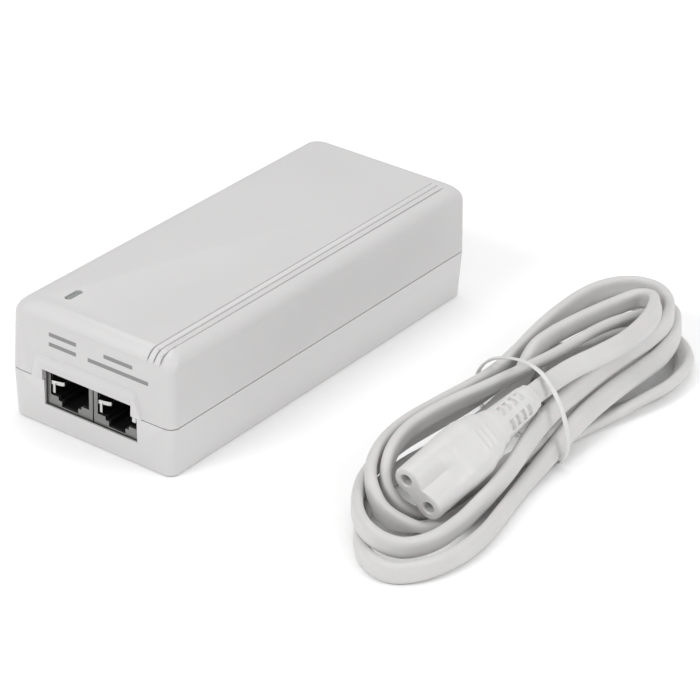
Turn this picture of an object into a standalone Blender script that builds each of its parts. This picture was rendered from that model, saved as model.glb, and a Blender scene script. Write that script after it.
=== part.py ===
"""Power-over-Ethernet injector and its detached figure-eight mains lead.

Metres, +Z up. The case stands on z = 0, centred on the origin: its two network
sockets face -Y and its mains inlet faces +Y. The tied mains lead lies beside it
on +X. Every physical piece is an object of its own.
"""

import math

import bmesh
import bpy
from mathutils import Matrix, Vector

MM = 0.001
GAP = 0.3 * MM                       # clearance between pieces that touch
DEPTH_MARGIN = 2.0 * MM              # how far a cutter runs past what it cuts

# Case: two moulded halves that meet at the parting line.
CASE_WIDTH = 54.0 * MM               # at the parting line
CASE_LENGTH = 130.2 * MM             # at the parting line
CASE_HEIGHT = 34.4 * MM
PARTING_HEIGHT = 14.1 * MM
CASE_WALL = 2.0 * MM
LOWER_DRAFT = 0.5 * MM               # how far each side leans in, down to the base
UPPER_DRAFT = 0.55 * MM              # how far each side leans in, up to the roof
CORNER_RADIUS = 2.6 * MM
TOP_EDGE_RADIUS = 4.0 * MM
BASE_EDGE_RADIUS = 0.8 * MM
TONGUE_HEIGHT = 1.5 * MM
TONGUE_THICKNESS = 0.85 * MM

# Grooves in the roof, parallel to its +X edge.
GROOVE_COUNT = 3
GROOVE_PITCH = 2.0 * MM
GROOVE_WIDTH = 0.7 * MM
GROOVE_DEPTH = 0.4 * MM
GROOVE_EDGE_INSET = 4.6 * MM         # outermost groove from the case's side
GROOVE_BACK_MARGIN = 6.2 * MM        # from the grooves' back end to the rear face

# Board and its supports.
BOARD_THICKNESS = 1.6 * MM
BOARD_BOTTOM = 4.6 * MM
BOARD_CLEARANCE = 1.4 * MM           # from the board's edge to the case wall
POST_RADIUS = 3.0 * MM
POST_INSET_X = 4.4 * MM              # from the board's edge
POST_REAR_INSET_Y = 5.0 * MM
POST_FRONT_INSET_Y = 35.0 * MM
SCREW_SHANK_RADIUS = 1.25 * MM
SCREW_HEAD_RADIUS = 2.4 * MM
SCREW_HEAD_HEIGHT = 1.7 * MM
SCREW_DEPTH = 3.0 * MM               # below the board's underside

# Network sockets (eight-contact modular jacks, latch side down).
JACK_WIDTH = 15.5 * MM
JACK_PITCH = JACK_WIDTH + GAP
JACK_HEIGHT = 13.2 * MM
JACK_DEPTH = 17.0 * MM
SHIELD_THICKNESS = 0.4 * MM
CAVITY_WIDTH = 12.8 * MM
CAVITY_FLOOR = 3.4 * MM              # from the jack's underside
CAVITY_HEIGHT = 7.5 * MM
CAVITY_DEPTH = 13.5 * MM
STEP_WIDTH = 7.7 * MM
STEP_DROP = 1.0 * MM
LATCH_WIDTH = 5.4 * MM
LATCH_DROP = 2.5 * MM
CONTACT_COUNT = 8
CONTACT_PITCH = 1.016 * MM
CONTACT_WIDTH = 0.44 * MM
CONTACT_THICKNESS = 0.34 * MM
CONTACT_ROOT_DEPTH = 2.1 * MM        # behind the jack's front
CONTACT_ROOT_RISE = 0.7 * MM         # above the cavity's roof
CONTACT_PIVOT_DROP = 0.6 * MM        # below the cavity's roof
CONTACT_REACH = 8.6 * MM
CONTACT_FALL = 2.4 * MM

# Window in the front wall and the low rim that frames it. The margins run out from
# the two jack cavities.
WINDOW_MARGIN_LEFT = 1.3 * MM
WINDOW_MARGIN_RIGHT = 1.0 * MM
WINDOW_LIP_OVERLAP = 0.4 * MM        # the cover's lip hides this much of the right cavity
WINDOW_MARGIN_BELOW = 3.1 * MM       # down over the latch's slot
WINDOW_MARGIN_ABOVE = 0.2 * MM
WINDOW_WALL = 0.8 * MM               # wall left in front of the jacks
LIP_DROP = 1.5 * MM                  # the cover's lip below the parting line
RIM_PROUD = 0.7 * MM
RIM_FLANK = 1.0 * MM
RIM_LIFT = 0.1 * MM                  # above the cover's lower edge
RIM_FOOT_OUT_LEFT = 4.6 * MM         # from the window's side to the rim's foot
RIM_FOOT_OUT_RIGHT = 2.5 * MM
RIM_TOP_OUT_LEFT = 3.0 * MM
RIM_TOP_IN_RIGHT = 0.1 * MM
RIM_ABOVE_WINDOW = 4.0 * MM

# Mains inlet (two-pin figure-eight type) and the connector that fits it.
PIN_SPACING = 8.6 * MM
PIN_RADIUS = 1.2 * MM
INLET_WIDTH = 19.0 * MM
INLET_HEIGHT = 12.0 * MM
INLET_DEPTH = 14.0 * MM
INLET_PROUD = RIM_PROUD
INLET_CAVITY_DEPTH = 11.0 * MM
INLET_PIN_RECESS = 3.0 * MM          # pin tip behind the inlet's face
INLET_PIN_TAIL = 2.4 * MM            # behind the housing
NOSE_HALF_WIDTH = 7.5 * MM
NOSE_HALF_HEIGHT = 4.0 * MM
NOSE_WAIST = 1.3 * MM
NOSE_CLEARANCE = 0.45 * MM

# Light pipe and status lamp.
LAMP_X = -15.0 * MM
LAMP_FRONT_INSET = 11.4 * MM         # slot centre from the front face
LAMP_SLOT_LENGTH = 5.4 * MM
LAMP_SLOT_WIDTH = 1.6 * MM
LAMP_RECESS = 0.3 * MM
LAMP_LEG_LENGTH = 2.8 * MM
LAMP_ARM_HEIGHT = 3.4 * MM
LED_HEIGHT = 1.9 * MM

# Rating label, left blank, in a shallow recess in the base.
LABEL_WIDTH = 36.0 * MM
LABEL_LENGTH = 70.0 * MM
LABEL_THICKNESS = 0.18 * MM
LABEL_RECESS = 0.6 * MM

# Electronics on the board.
MAGNETICS_SIZE = (15.0 * MM, 11.0 * MM, 6.5 * MM)
MAGNETICS_GAP_Y = 4.5 * MM           # behind the jacks
OUTPUT_CAP_RADIUS = 4.0 * MM
OUTPUT_CAP_HEIGHT = 14.0 * MM
CHIP_SIZE = (9.0 * MM, 7.0 * MM, 2.0 * MM)
OPTOCOUPLER_SIZE = (4.6 * MM, 6.5 * MM, 3.6 * MM)
CORE_SIZE = (24.0 * MM, 12.0 * MM, 19.0 * MM)
CORE_LEG = 7.0 * MM
CORE_YOKE = 3.2 * MM
CORE_OUTER_LEG = 3.4 * MM
WINDING_THICKNESS = 3.2 * MM
BULK_CAP_RADIUS = 8.0 * MM
ROOF_CLEARANCE = 3.0 * MM            # over the tallest pieces
HEAT_SINK_LENGTH = 26.0 * MM
HEAT_SINK_THICKNESS = 2.0 * MM
HEAT_SINK_FOOT = 6.0 * MM
TRANSISTOR_SIZE = (4.4 * MM, 10.0 * MM, 15.0 * MM)
RECTIFIER_SIZE = (3.6 * MM, 18.0 * MM, 13.0 * MM)
CHOKE_RADIUS = 7.0 * MM
CHOKE_HOLE_RADIUS = 3.2 * MM
CHOKE_WIDTH = 8.0 * MM
X_CAP_SIZE = (16.0 * MM, 8.5 * MM, 14.0 * MM)
FUSE_RADIUS = 2.6 * MM
FUSE_LENGTH = 20.0 * MM

# Mains lead: flat two-core cord, folded in a hank and tied.
CORD_WIDTH = 5.6 * MM
CORD_THICKNESS = 3.3 * MM
HANK_FRONT = -70.0 * MM
HANK_BACK = 83.5 * MM
HANK_X = 87.0 * MM                   # centre line at the hank's ends
HANK_BOW = 4.5 * MM                  # how far the middle bows towards the case
HANK_BOW_CENTRE = 9.2 * MM
HANK_BOW_SPAN = 130.0 * MM
HANK_HALF_WIDTH = 21.0 * MM
HANK_ARM = 5.4 * MM
HANK_PINCH = 6.0 * MM                # how much narrower the tied middle is
HANK_BOTTOM = 2.4 * MM
HANK_TOP = 12.4 * MM
TIE_CENTRE = (82.3 * MM, 9.2 * MM)
TIE_TURN = math.radians(-20.0)
TIE_THICKNESS = 0.8 * MM
TIE_WIDTH = 1.5 * MM

# The tie's outer line across the bundle, in mm: out from its centre, and up.
TIE_LINE = (
    (-14.5, 0.3),
    (0.0, 0.3),
    (14.8, 0.3),
    (18.9, 2.0),
    (20.7, 7.0),
    (19.8, 11.6),
    (17.2, 16.4),
    (13.4, 20.2),
    (8.8, 22.5),
    (3.6, 22.9),
    (-1.8, 21.9),
    (-7.8, 19.6),
    (-12.8, 16.8),
    (-16.8, 13.0),
    (-18.9, 8.6),
    (-18.4, 3.0),
)

# Connector on the lead: where its face and its tail lie, and its roll.
CONNECTOR_FACE = (89.3 * MM, -47.3 * MM, 12.0 * MM)
CONNECTOR_TAIL = (90.7 * MM, 0.2 * MM, 18.6 * MM)
CONNECTOR_ROLL = math.radians(41.0)
CONNECTOR_MOUTH_RADIUS = 1.5 * MM
CONNECTOR_MOUTH_DEPTH = 3.0 * MM
CONNECTOR_CHAMBER_RADIUS = 2.1 * MM
CONNECTOR_CHAMBER_DEPTH = 12.0 * MM
SLEEVE_RADIUS = 1.8 * MM
SLEEVE_BORE = 1.3 * MM

# The cord's free stretch, in mm: from the connector's tail over the hank, round its
# far end and back over the plug to where it joins the bundle.
FREE_ROUTE = (
    (90.72, 0.65, 18.66),
    (90.7, 8.0, 18.8),
    (91.2, 19.0, 18.8),
    (92.9, 30.0, 18.6),
    (94.0, 41.0, 18.4),
    (93.2, 52.0, 18.2),
    (90.6, 61.5, 17.8),
    (86.4, 68.2, 16.8),
    (81.4, 68.0, 15.8),
    (78.2, 60.0, 15.2),
    (77.0, 55.0, 15.1),
    (75.9, 50.0, 15.0),
    (75.1, 45.0, 15.0),
    (74.5, 40.0, 15.0),
    (74.2, 36.5, 15.0),
)

# Mains plug at the lead's far end, lying flat inside the hank.
PLUG_X = 81.3 * MM
PLUG_Z = 6.0 * MM
PLUG_BODY_FRONT = 26.0 * MM
PLUG_BODY_LENGTH = 26.0 * MM
PLUG_HALF_WIDTH = 9.5 * MM
PLUG_HALF_HEIGHT = 5.8 * MM
PLUG_TAIL_END = 68.0 * MM
BLADE_SPACING = 12.7 * MM
BLADE_WIDTH = 6.3 * MM
BLADE_THICKNESS = 1.5 * MM
BLADE_LENGTH = 16.5 * MM

# Planes that several pieces share.
FRONT_Y = -CASE_LENGTH / 2
REAR_Y = CASE_LENGTH / 2
ROOF_UNDERSIDE = CASE_HEIGHT - CASE_WALL
BOARD_TOP = BOARD_BOTTOM + BOARD_THICKNESS
SEAT_Z = BOARD_TOP + GAP
BOARD_HALF_WIDTH = CASE_WIDTH / 2 - LOWER_DRAFT - CASE_WALL - BOARD_CLEARANCE
BOARD_FRONT = FRONT_Y + LOWER_DRAFT + CASE_WALL + BOARD_CLEARANCE
BOARD_REAR = REAR_Y - LOWER_DRAFT - CASE_WALL - BOARD_CLEARANCE
JACK_FRONT = FRONT_Y + WINDOW_WALL + GAP
JACK_BACK = JACK_FRONT + JACK_DEPTH
CAVITIES_HALF_SPAN = (JACK_PITCH + CAVITY_WIDTH) / 2
WINDOW_LEFT = -CAVITIES_HALF_SPAN - WINDOW_MARGIN_LEFT
WINDOW_RIGHT = CAVITIES_HALF_SPAN + WINDOW_MARGIN_RIGHT
WINDOW_UPPER_RIGHT = CAVITIES_HALF_SPAN - WINDOW_LIP_OVERLAP
WINDOW_BOTTOM = SEAT_Z + CAVITY_FLOOR - WINDOW_MARGIN_BELOW
WINDOW_TOP = SEAT_Z + CAVITY_FLOOR + CAVITY_HEIGHT + WINDOW_MARGIN_ABOVE
RIM_FOOT_LEFT = WINDOW_LEFT - RIM_FOOT_OUT_LEFT
RIM_FOOT_RIGHT = WINDOW_RIGHT + RIM_FOOT_OUT_RIGHT
RIM_TOP_LEFT = WINDOW_LEFT - RIM_TOP_OUT_LEFT
RIM_TOP_RIGHT = WINDOW_RIGHT - RIM_TOP_IN_RIGHT
RIM_TOP = WINDOW_TOP + RIM_ABOVE_WINDOW
INLET_FACE = REAR_Y + INLET_PROUD
INLET_BACK = INLET_FACE - INLET_DEPTH
INLET_CENTRE_Z = SEAT_Z + INLET_HEIGHT / 2
MAGNETICS_Y = JACK_BACK + MAGNETICS_GAP_Y + MAGNETICS_SIZE[1] / 2
OUTPUT_STAGE_Y = MAGNETICS_Y + MAGNETICS_SIZE[1] / 2 + 6.5 * MM
CORE_Y = OUTPUT_STAGE_Y + 16.5 * MM
POWER_STAGE_Y = CORE_Y + 20.0 * MM
FUSE_Y = INLET_BACK - 6.0 * MM
FILTER_Y = FUSE_Y - 13.0 * MM

FINISHES = {
    "case_plastic": ((0.72, 0.715, 0.70), 0.55, 0.0),
    "board": ((0.02, 0.16, 0.07), 0.5, 0.0),
    "black_plastic": ((0.02, 0.02, 0.022), 0.45, 0.0),
    "shield_metal": ((0.55, 0.55, 0.54), 0.35, 1.0),
    "contact_gold": ((0.83, 0.62, 0.25), 0.3, 1.0),
    "steel": ((0.6, 0.6, 0.6), 0.35, 1.0),
    "brass": ((0.75, 0.6, 0.3), 0.35, 1.0),
    "light_pipe": ((0.75, 0.78, 0.78), 0.2, 0.0),
    "led_body": ((0.2, 0.6, 0.25), 0.3, 0.0),
    "label": ((0.7, 0.7, 0.7), 0.4, 0.0),
    "aluminium": ((0.65, 0.66, 0.67), 0.4, 1.0),
    "ferrite": ((0.05, 0.05, 0.055), 0.6, 0.0),
    "winding_tape": ((0.75, 0.6, 0.1), 0.5, 0.0),
    "capacitor_sleeve": ((0.03, 0.05, 0.12), 0.4, 0.0),
    "film_capacitor": ((0.75, 0.65, 0.12), 0.4, 0.0),
    "fuse_glass": ((0.8, 0.82, 0.82), 0.1, 0.0),
    "lead_plastic": ((0.70, 0.70, 0.69), 0.5, 0.0),
    "tie_plastic": ((0.8, 0.8, 0.8), 0.45, 0.0),
}


# --- scene and material helpers -------------------------------------------------------

def clear_scene():
    """Remove every object that the file already holds."""
    for old in list(bpy.data.objects):
        bpy.data.objects.remove(old, do_unlink=True)


def finish(name):
    """Return the named material, making it the first time that it is asked for."""
    found = bpy.data.materials.get(name)
    if found:
        return found
    colour, roughness, metallic = FINISHES[name]
    made = bpy.data.materials.new(name)
    made.use_nodes = True
    shader = made.node_tree.nodes["Principled BSDF"]
    shader.inputs["Base Color"].default_value = (*colour, 1.0)
    shader.inputs["Roughness"].default_value = roughness
    shader.inputs["Metallic"].default_value = metallic
    made.diffuse_color = (*colour, 1.0)
    return made


def add_piece(name, shape, finish_name, smooth_angle=35.0, origin=(0.0, 0.0, 0.0)):
    """Turn a bmesh into a named object whose origin is the given world point."""
    bmesh.ops.recalc_face_normals(shape, faces=shape.faces)
    bmesh.ops.translate(shape, verts=shape.verts, vec=-Vector(origin))
    mesh = bpy.data.meshes.new(name)
    shape.to_mesh(mesh)
    shape.free()
    mesh.materials.append(finish(finish_name))
    mesh.shade_smooth()
    mesh.set_sharp_from_angle(angle=math.radians(smooth_angle))
    piece = bpy.data.objects.new(name, mesh)
    piece.location = origin
    bpy.context.scene.collection.objects.link(piece)
    return piece


def apply_tool(piece, shape, operation, label):
    """Join or cut a piece with a hidden tool solid."""
    bmesh.ops.recalc_face_normals(shape, faces=shape.faces)
    mesh = bpy.data.meshes.new(label)
    shape.to_mesh(mesh)
    shape.free()
    tool = bpy.data.objects.new(label, mesh)
    tool.hide_render = True
    tool.display_type = "WIRE"
    bpy.context.scene.collection.objects.link(tool)
    boolean = piece.modifiers.new(label, "BOOLEAN")
    boolean.operation = operation
    boolean.solver = "EXACT"
    boolean.object = tool


def cut(piece, shape, label):
    """Cut a solid out of a piece."""
    apply_tool(piece, shape, "DIFFERENCE", f"cut_{piece.name}_{label}")


def join(piece, shape, label):
    """Join a solid to a piece."""
    apply_tool(piece, shape, "UNION", f"join_{piece.name}_{label}")


# --- shape helpers --------------------------------------------------------------------

def rounded_rectangle(half_x, half_y, radius, corner_steps=6):
    """Return an outline's points, counter-clockwise, with round corners."""
    points = []
    for quarter, (side_x, side_y) in enumerate(((1, 1), (-1, 1), (-1, -1), (1, -1))):
        centre_x = side_x * (half_x - radius)
        centre_y = side_y * (half_y - radius)
        for step in range(corner_steps + 1):
            angle = math.radians(90.0 * (quarter + step / corner_steps))
            x = centre_x + radius * math.cos(angle)
            y = centre_y + radius * math.sin(angle)
            points.append((x, y))
    return points


def circle(radius, steps=24):
    """Return a circle's points."""
    turn = 2 * math.pi / steps
    return [(radius * math.cos(turn * i), radius * math.sin(turn * i)) for i in range(steps)]


def lobed_outline(half_width, half_height, waist, arc_steps=8, flat_steps=6):
    """Return the outline of two round lobes side by side, pinched between them."""
    reach = half_width - half_height
    points = []
    for side in (1, -1):
        for step in range(arc_steps + 1):
            angle = math.radians(-90.0 + 180.0 * step / arc_steps)
            x = reach + half_height * math.cos(angle)
            points.append((side * x, side * half_height * math.sin(angle)))
        for step in range(1, flat_steps):
            x = reach * (1 - 2 * step / flat_steps)
            dip = waist * math.cos(math.pi * x / (2 * reach)) ** 2
            points.append((side * x, side * (half_height - dip)))
    return points


def on_axis(axis, outline, station, centre=(0.0, 0.0)):
    """Place a flat outline across an axis, at one station along it."""
    ring = []
    for u, v in outline:
        u += centre[0]
        v += centre[1]
        if axis == "X":
            ring.append((station, u, v))
        elif axis == "Y":
            ring.append((u, station, v))
        else:
            ring.append((u, v, station))
    return ring


def skin(shape, rings, closed=False):
    """Skin rings of equal count into one solid, capped or closed on itself."""
    rows = [[shape.verts.new(point) for point in ring] for ring in rings]
    pairs = list(zip(rows, rows[1:]))
    if closed:
        pairs.append((rows[-1], rows[0]))
    else:
        shape.faces.new(list(reversed(rows[0])))
        shape.faces.new(rows[-1])
    for row, next_row in pairs:
        for i in range(len(row)):
            j = (i + 1) % len(row)
            shape.faces.new((row[i], row[j], next_row[j], next_row[i]))
    return shape


def prism(axis, outline, low, high, centre=(0.0, 0.0)):
    """Extrude an outline along an axis."""
    rings = [on_axis(axis, outline, station, centre) for station in (low, high)]
    return skin(bmesh.new(), rings)


def box(low, high):
    """Return a box between two corners."""
    outline = [(low[0], low[1]), (high[0], low[1]), (high[0], high[1]), (low[0], high[1])]
    return prism("Z", outline, low[2], high[2])


def seated_box(centre_x, centre_y, size, base=None):
    """Return a box that stands on the board, centred on a point."""
    base = SEAT_Z if base is None else base
    low = (centre_x - size[0] / 2, centre_y - size[1] / 2, base)
    high = (centre_x + size[0] / 2, centre_y + size[1] / 2, base + size[2])
    return box(low, high)


def rounded_block(centre_x, centre_y, size, radius, base=None):
    """Return a block with round upright edges that stands on the board."""
    base = SEAT_Z if base is None else base
    outline = rounded_rectangle(size[0] / 2, size[1] / 2, radius, 4)
    return prism("Z", outline, base, base + size[2], (centre_x, centre_y))


def turned(axis, profile, centre=(0.0, 0.0), steps=24):
    """Return a solid turned about an axis from (radius, station) pairs."""
    rings = [on_axis(axis, circle(radius, steps), station, centre) for radius, station in profile]
    return skin(bmesh.new(), rings)


def turned_tube(axis, outer, inner, low, high, centre=(0.0, 0.0), steps=24):
    """Return a plain tube along an axis."""
    stations = ((outer, low), (outer, high), (inner, high), (inner, low))
    rings = [on_axis(axis, circle(radius, steps), station, centre) for radius, station in stations]
    return skin(bmesh.new(), rings, closed=True)


# --- case -----------------------------------------------------------------------------

def side_inset(height):
    """Return how far the case's sides lean in at a height."""
    if height <= PARTING_HEIGHT:
        return LOWER_DRAFT * (PARTING_HEIGHT - height) / PARTING_HEIGHT
    return UPPER_DRAFT * (height - PARTING_HEIGHT) / (CASE_HEIGHT - PARTING_HEIGHT)


def case_ring(height, inset, radius=None):
    """Return the case's outline at a height, moved inwards by an inset."""
    radius = max(CORNER_RADIUS - inset, 0.5 * MM) if radius is None else radius
    half_x = CASE_WIDTH / 2 - inset
    half_y = CASE_LENGTH / 2 - inset
    return on_axis("Z", rounded_rectangle(half_x, half_y, radius), height)


def upper_cover():
    """Build the drafted, soft-edged upper shell with its rebate for the tongue."""
    bottom = PARTING_HEIGHT + GAP
    rebate = CASE_WALL - TONGUE_THICKNESS - GAP
    rebate_top = PARTING_HEIGHT + TONGUE_HEIGHT + GAP
    rings = []
    edge_steps = 6
    for step in range(edge_steps + 1):
        angle = math.radians(90.0 * (1 - step / edge_steps))
        height = CASE_HEIGHT - TOP_EDGE_RADIUS * (1 - math.sin(angle))
        shift = TOP_EDGE_RADIUS * (1 - math.cos(angle))
        radius = CORNER_RADIUS + shift * 0.6
        rings.append(case_ring(height, side_inset(height) + shift, radius))
    rings.append(case_ring(bottom, side_inset(bottom)))
    rings.append(case_ring(bottom, rebate))
    rings.append(case_ring(rebate_top, rebate))
    rings.append(case_ring(rebate_top, CASE_WALL))
    roof_low = CASE_HEIGHT - TOP_EDGE_RADIUS
    rings.append(case_ring(roof_low, side_inset(roof_low) + CASE_WALL))
    rings.append(case_ring(ROOF_UNDERSIDE, side_inset(ROOF_UNDERSIDE) + CASE_WALL + 2.0 * MM))
    piece = add_piece("upper_cover", skin(bmesh.new(), rings), "case_plastic")
    join(piece, window_rim(), "rim")
    join(piece, window_lip(), "lip")
    cut_upper_window(piece)
    cut(piece, inlet_opening(), "inlet")
    cut(piece, lamp_slot(GAP, ROOF_UNDERSIDE - DEPTH_MARGIN, CASE_HEIGHT + DEPTH_MARGIN), "lamp")
    for index in range(GROOVE_COUNT):
        cut(piece, roof_groove(index), f"groove_{index + 1}")
    return piece


def window_rim():
    """Return the low rim that frames the socket window on the cover's front."""
    foot_z = PARTING_HEIGHT + GAP + RIM_LIFT
    face_y = FRONT_Y - RIM_PROUD
    root_y = FRONT_Y + (CASE_WALL - TONGUE_THICKNESS - GAP) * 0.7
    face = [
        (RIM_FOOT_LEFT + RIM_FLANK, foot_z),
        (RIM_FOOT_RIGHT - RIM_FLANK, foot_z),
        (RIM_TOP_RIGHT - RIM_FLANK, RIM_TOP - RIM_FLANK),
        (RIM_TOP_LEFT + RIM_FLANK, RIM_TOP - RIM_FLANK),
    ]
    foot = [
        (RIM_FOOT_LEFT, foot_z),
        (RIM_FOOT_RIGHT, foot_z),
        (RIM_TOP_RIGHT, RIM_TOP),
        (RIM_TOP_LEFT, RIM_TOP),
    ]
    rings = [on_axis("Y", face, face_y), on_axis("Y", foot, face_y + RIM_FLANK)]
    rings.append(on_axis("Y", foot, root_y))
    return skin(bmesh.new(), rings)


def window_lip():
    """Return the cover's short lip that hangs into the lower case's window."""
    low = (WINDOW_UPPER_RIGHT, FRONT_Y - 0.02 * MM, PARTING_HEIGHT - LIP_DROP)
    high = (WINDOW_RIGHT - GAP, FRONT_Y + WINDOW_WALL, PARTING_HEIGHT + 3 * GAP)
    return box(low, high)


def jack_pocket(top):
    """Return the pocket behind the front wall that the jacks' faces sit in."""
    half = JACK_PITCH / 2 + JACK_WIDTH / 2 + GAP
    low = (-half, FRONT_Y + WINDOW_WALL, SEAT_Z - GAP)
    high = (half, FRONT_Y + CASE_WALL + DEPTH_MARGIN, top)
    return box(low, high)


def cut_upper_window(piece):
    """Cut the cover's part of the socket window and the pocket behind it."""
    low = (WINDOW_LEFT, FRONT_Y - DEPTH_MARGIN, PARTING_HEIGHT - DEPTH_MARGIN)
    high = (WINDOW_UPPER_RIGHT, FRONT_Y + CASE_WALL + DEPTH_MARGIN, WINDOW_TOP)
    cut(piece, box(low, high), "window")
    cut(piece, jack_pocket(SEAT_Z + JACK_HEIGHT + GAP), "pocket")


def inlet_opening():
    """Return the opening in the rear wall around the mains inlet."""
    outline = rounded_rectangle(INLET_WIDTH / 2 + GAP, INLET_HEIGHT / 2 + GAP, 2.0 * MM)
    low = REAR_Y - CASE_WALL - DEPTH_MARGIN
    return prism("Y", outline, low, REAR_Y + DEPTH_MARGIN, (0.0, INLET_CENTRE_Z))


def lamp_slot(clearance, low, high):
    """Return an upright solid of the lamp slot's shape."""
    half_x = LAMP_SLOT_WIDTH / 2 + clearance
    half_y = LAMP_SLOT_LENGTH / 2 + clearance
    outline = rounded_rectangle(half_x, half_y, half_x * 0.98)
    return prism("Z", outline, low, high, (LAMP_X, FRONT_Y + LAMP_FRONT_INSET))


def roof_groove(index):
    """Return one round-bottomed groove along the roof, open at the front."""
    x = CASE_WIDTH / 2 - GROOVE_EDGE_INSET - index * GROOVE_PITCH
    low = FRONT_Y - DEPTH_MARGIN
    high = REAR_Y - GROOVE_BACK_MARGIN
    half = GROOVE_WIDTH / 2
    top = CASE_HEIGHT + DEPTH_MARGIN
    floor = CASE_HEIGHT - GROOVE_DEPTH
    section = [(x - half * 0.5, floor), (x + half * 0.5, floor), (x + half, top), (x - half, top)]
    fall = TOP_EDGE_RADIUS * 0.75
    front = [(u, v - fall) for u, v in section]
    rings = [on_axis("Y", front, low + DEPTH_MARGIN), on_axis("Y", section, low + TOP_EDGE_RADIUS * 1.6)]
    rings.append(on_axis("Y", section, high))
    return skin(bmesh.new(), rings)


def lower_case():
    """Build the tray with its tongue, board posts, window and label recess."""
    rings = []
    edge_steps = 3
    for step in range(edge_steps + 1):
        angle = math.radians(90.0 * (1 - step / edge_steps))
        height = BASE_EDGE_RADIUS * (1 - math.sin(angle))
        shift = BASE_EDGE_RADIUS * (1 - math.cos(angle))
        rings.append(case_ring(height, side_inset(height) + shift, CORNER_RADIUS))
    tongue_inset = CASE_WALL - TONGUE_THICKNESS
    rings.append(case_ring(PARTING_HEIGHT, 0.0))
    rings.append(case_ring(PARTING_HEIGHT, tongue_inset))
    rings.append(case_ring(PARTING_HEIGHT + TONGUE_HEIGHT, tongue_inset))
    rings.append(case_ring(PARTING_HEIGHT + TONGUE_HEIGHT, CASE_WALL))
    rings.append(case_ring(PARTING_HEIGHT, CASE_WALL))
    rings.append(case_ring(CASE_WALL, LOWER_DRAFT + CASE_WALL))
    piece = add_piece("lower_case", skin(bmesh.new(), rings), "case_plastic")
    for index, (x, y) in enumerate(post_places()):
        post = turned("Z", ((POST_RADIUS, CASE_WALL / 2), (POST_RADIUS, BOARD_BOTTOM - GAP)), (x, y))
        join(piece, post, f"post_{index + 1}")
    for index, (x, y) in enumerate(screw_places()):
        radius = SCREW_SHANK_RADIUS + GAP
        low = BOARD_BOTTOM - SCREW_DEPTH - GAP
        hole = turned("Z", ((radius, low), (radius, BOARD_BOTTOM + DEPTH_MARGIN)), (x, y))
        cut(piece, hole, f"screw_{index + 1}")
    low = (WINDOW_LEFT, FRONT_Y - DEPTH_MARGIN, WINDOW_BOTTOM)
    high = (WINDOW_RIGHT, FRONT_Y + CASE_WALL + DEPTH_MARGIN, PARTING_HEIGHT + TONGUE_HEIGHT + DEPTH_MARGIN)
    cut(piece, box(low, high), "window")
    cut(piece, jack_pocket(PARTING_HEIGHT + TONGUE_HEIGHT + DEPTH_MARGIN), "pocket")
    cut(piece, inlet_opening(), "inlet")
    half_x = LABEL_WIDTH / 2 + GAP
    half_y = LABEL_LENGTH / 2 + GAP
    recess = prism("Z", rounded_rectangle(half_x, half_y, 2.0 * MM), -DEPTH_MARGIN, LABEL_RECESS)
    cut(piece, recess, "label")
    return piece


def post_places():
    """Return the four board posts' centres."""
    x = BOARD_HALF_WIDTH - POST_INSET_X
    front = BOARD_FRONT + POST_FRONT_INSET_Y
    rear = BOARD_REAR - POST_REAR_INSET_Y
    return [(side * x, y) for y in (front, rear) for side in (-1, 1)]


def screw_places():
    """Return the two posts that hold a screw, on opposite corners of the board."""
    places = post_places()
    return [places[0], places[3]]


def rating_label():
    """Build the blank label in its recess in the base."""
    outline = rounded_rectangle(LABEL_WIDTH / 2, LABEL_LENGTH / 2, 1.7 * MM)
    top = LABEL_RECESS - GAP
    add_piece("rating_label", prism("Z", outline, top - LABEL_THICKNESS, top), "label")


# --- board ----------------------------------------------------------------------------

def circuit_board():
    """Build the board with its two screw holes."""
    low = (-BOARD_HALF_WIDTH, BOARD_FRONT, BOARD_BOTTOM)
    high = (BOARD_HALF_WIDTH, BOARD_REAR, BOARD_TOP)
    piece = add_piece("circuit_board", box(low, high), "board")
    for index, (x, y) in enumerate(screw_places()):
        radius = SCREW_SHANK_RADIUS + GAP
        hole = turned("Z", ((radius, BOARD_BOTTOM - DEPTH_MARGIN), (radius, BOARD_TOP + DEPTH_MARGIN)), (x, y))
        cut(piece, hole, f"screw_{index + 1}")


def board_screws():
    """Build the two screws that hold the board down."""
    for index, (x, y) in enumerate(screw_places()):
        head_top = SEAT_Z + SCREW_HEAD_HEIGHT
        profile = (
            (SCREW_SHANK_RADIUS * 0.7, BOARD_BOTTOM - SCREW_DEPTH),
            (SCREW_SHANK_RADIUS, BOARD_BOTTOM - SCREW_DEPTH + 0.8 * MM),
            (SCREW_SHANK_RADIUS, SEAT_Z),
            (SCREW_HEAD_RADIUS, SEAT_Z),
            (SCREW_HEAD_RADIUS, head_top - 0.6 * MM),
            (SCREW_HEAD_RADIUS * 0.7, head_top),
        )
        add_piece(f"board_screw_{index + 1}", turned("Z", profile, (x, y), 20), "steel")


# --- network sockets ------------------------------------------------------------------

def cavity_outline(centre_x, clearance):
    """Return the socket opening's stepped outline, grown by a clearance."""
    floor = SEAT_Z + CAVITY_FLOOR - clearance
    roof = SEAT_Z + CAVITY_FLOOR + CAVITY_HEIGHT + clearance
    wide = CAVITY_WIDTH / 2 + clearance
    step = STEP_WIDTH / 2 + clearance
    latch = LATCH_WIDTH / 2 + clearance
    right = [
        (latch, floor - LATCH_DROP),
        (latch, floor - STEP_DROP),
        (step, floor - STEP_DROP),
        (step, floor),
        (wide, floor),
        (wide, roof),
    ]
    left = [(-x, z) for x, z in reversed(right)]
    return [(centre_x + x, z) for x, z in right + left]


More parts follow.
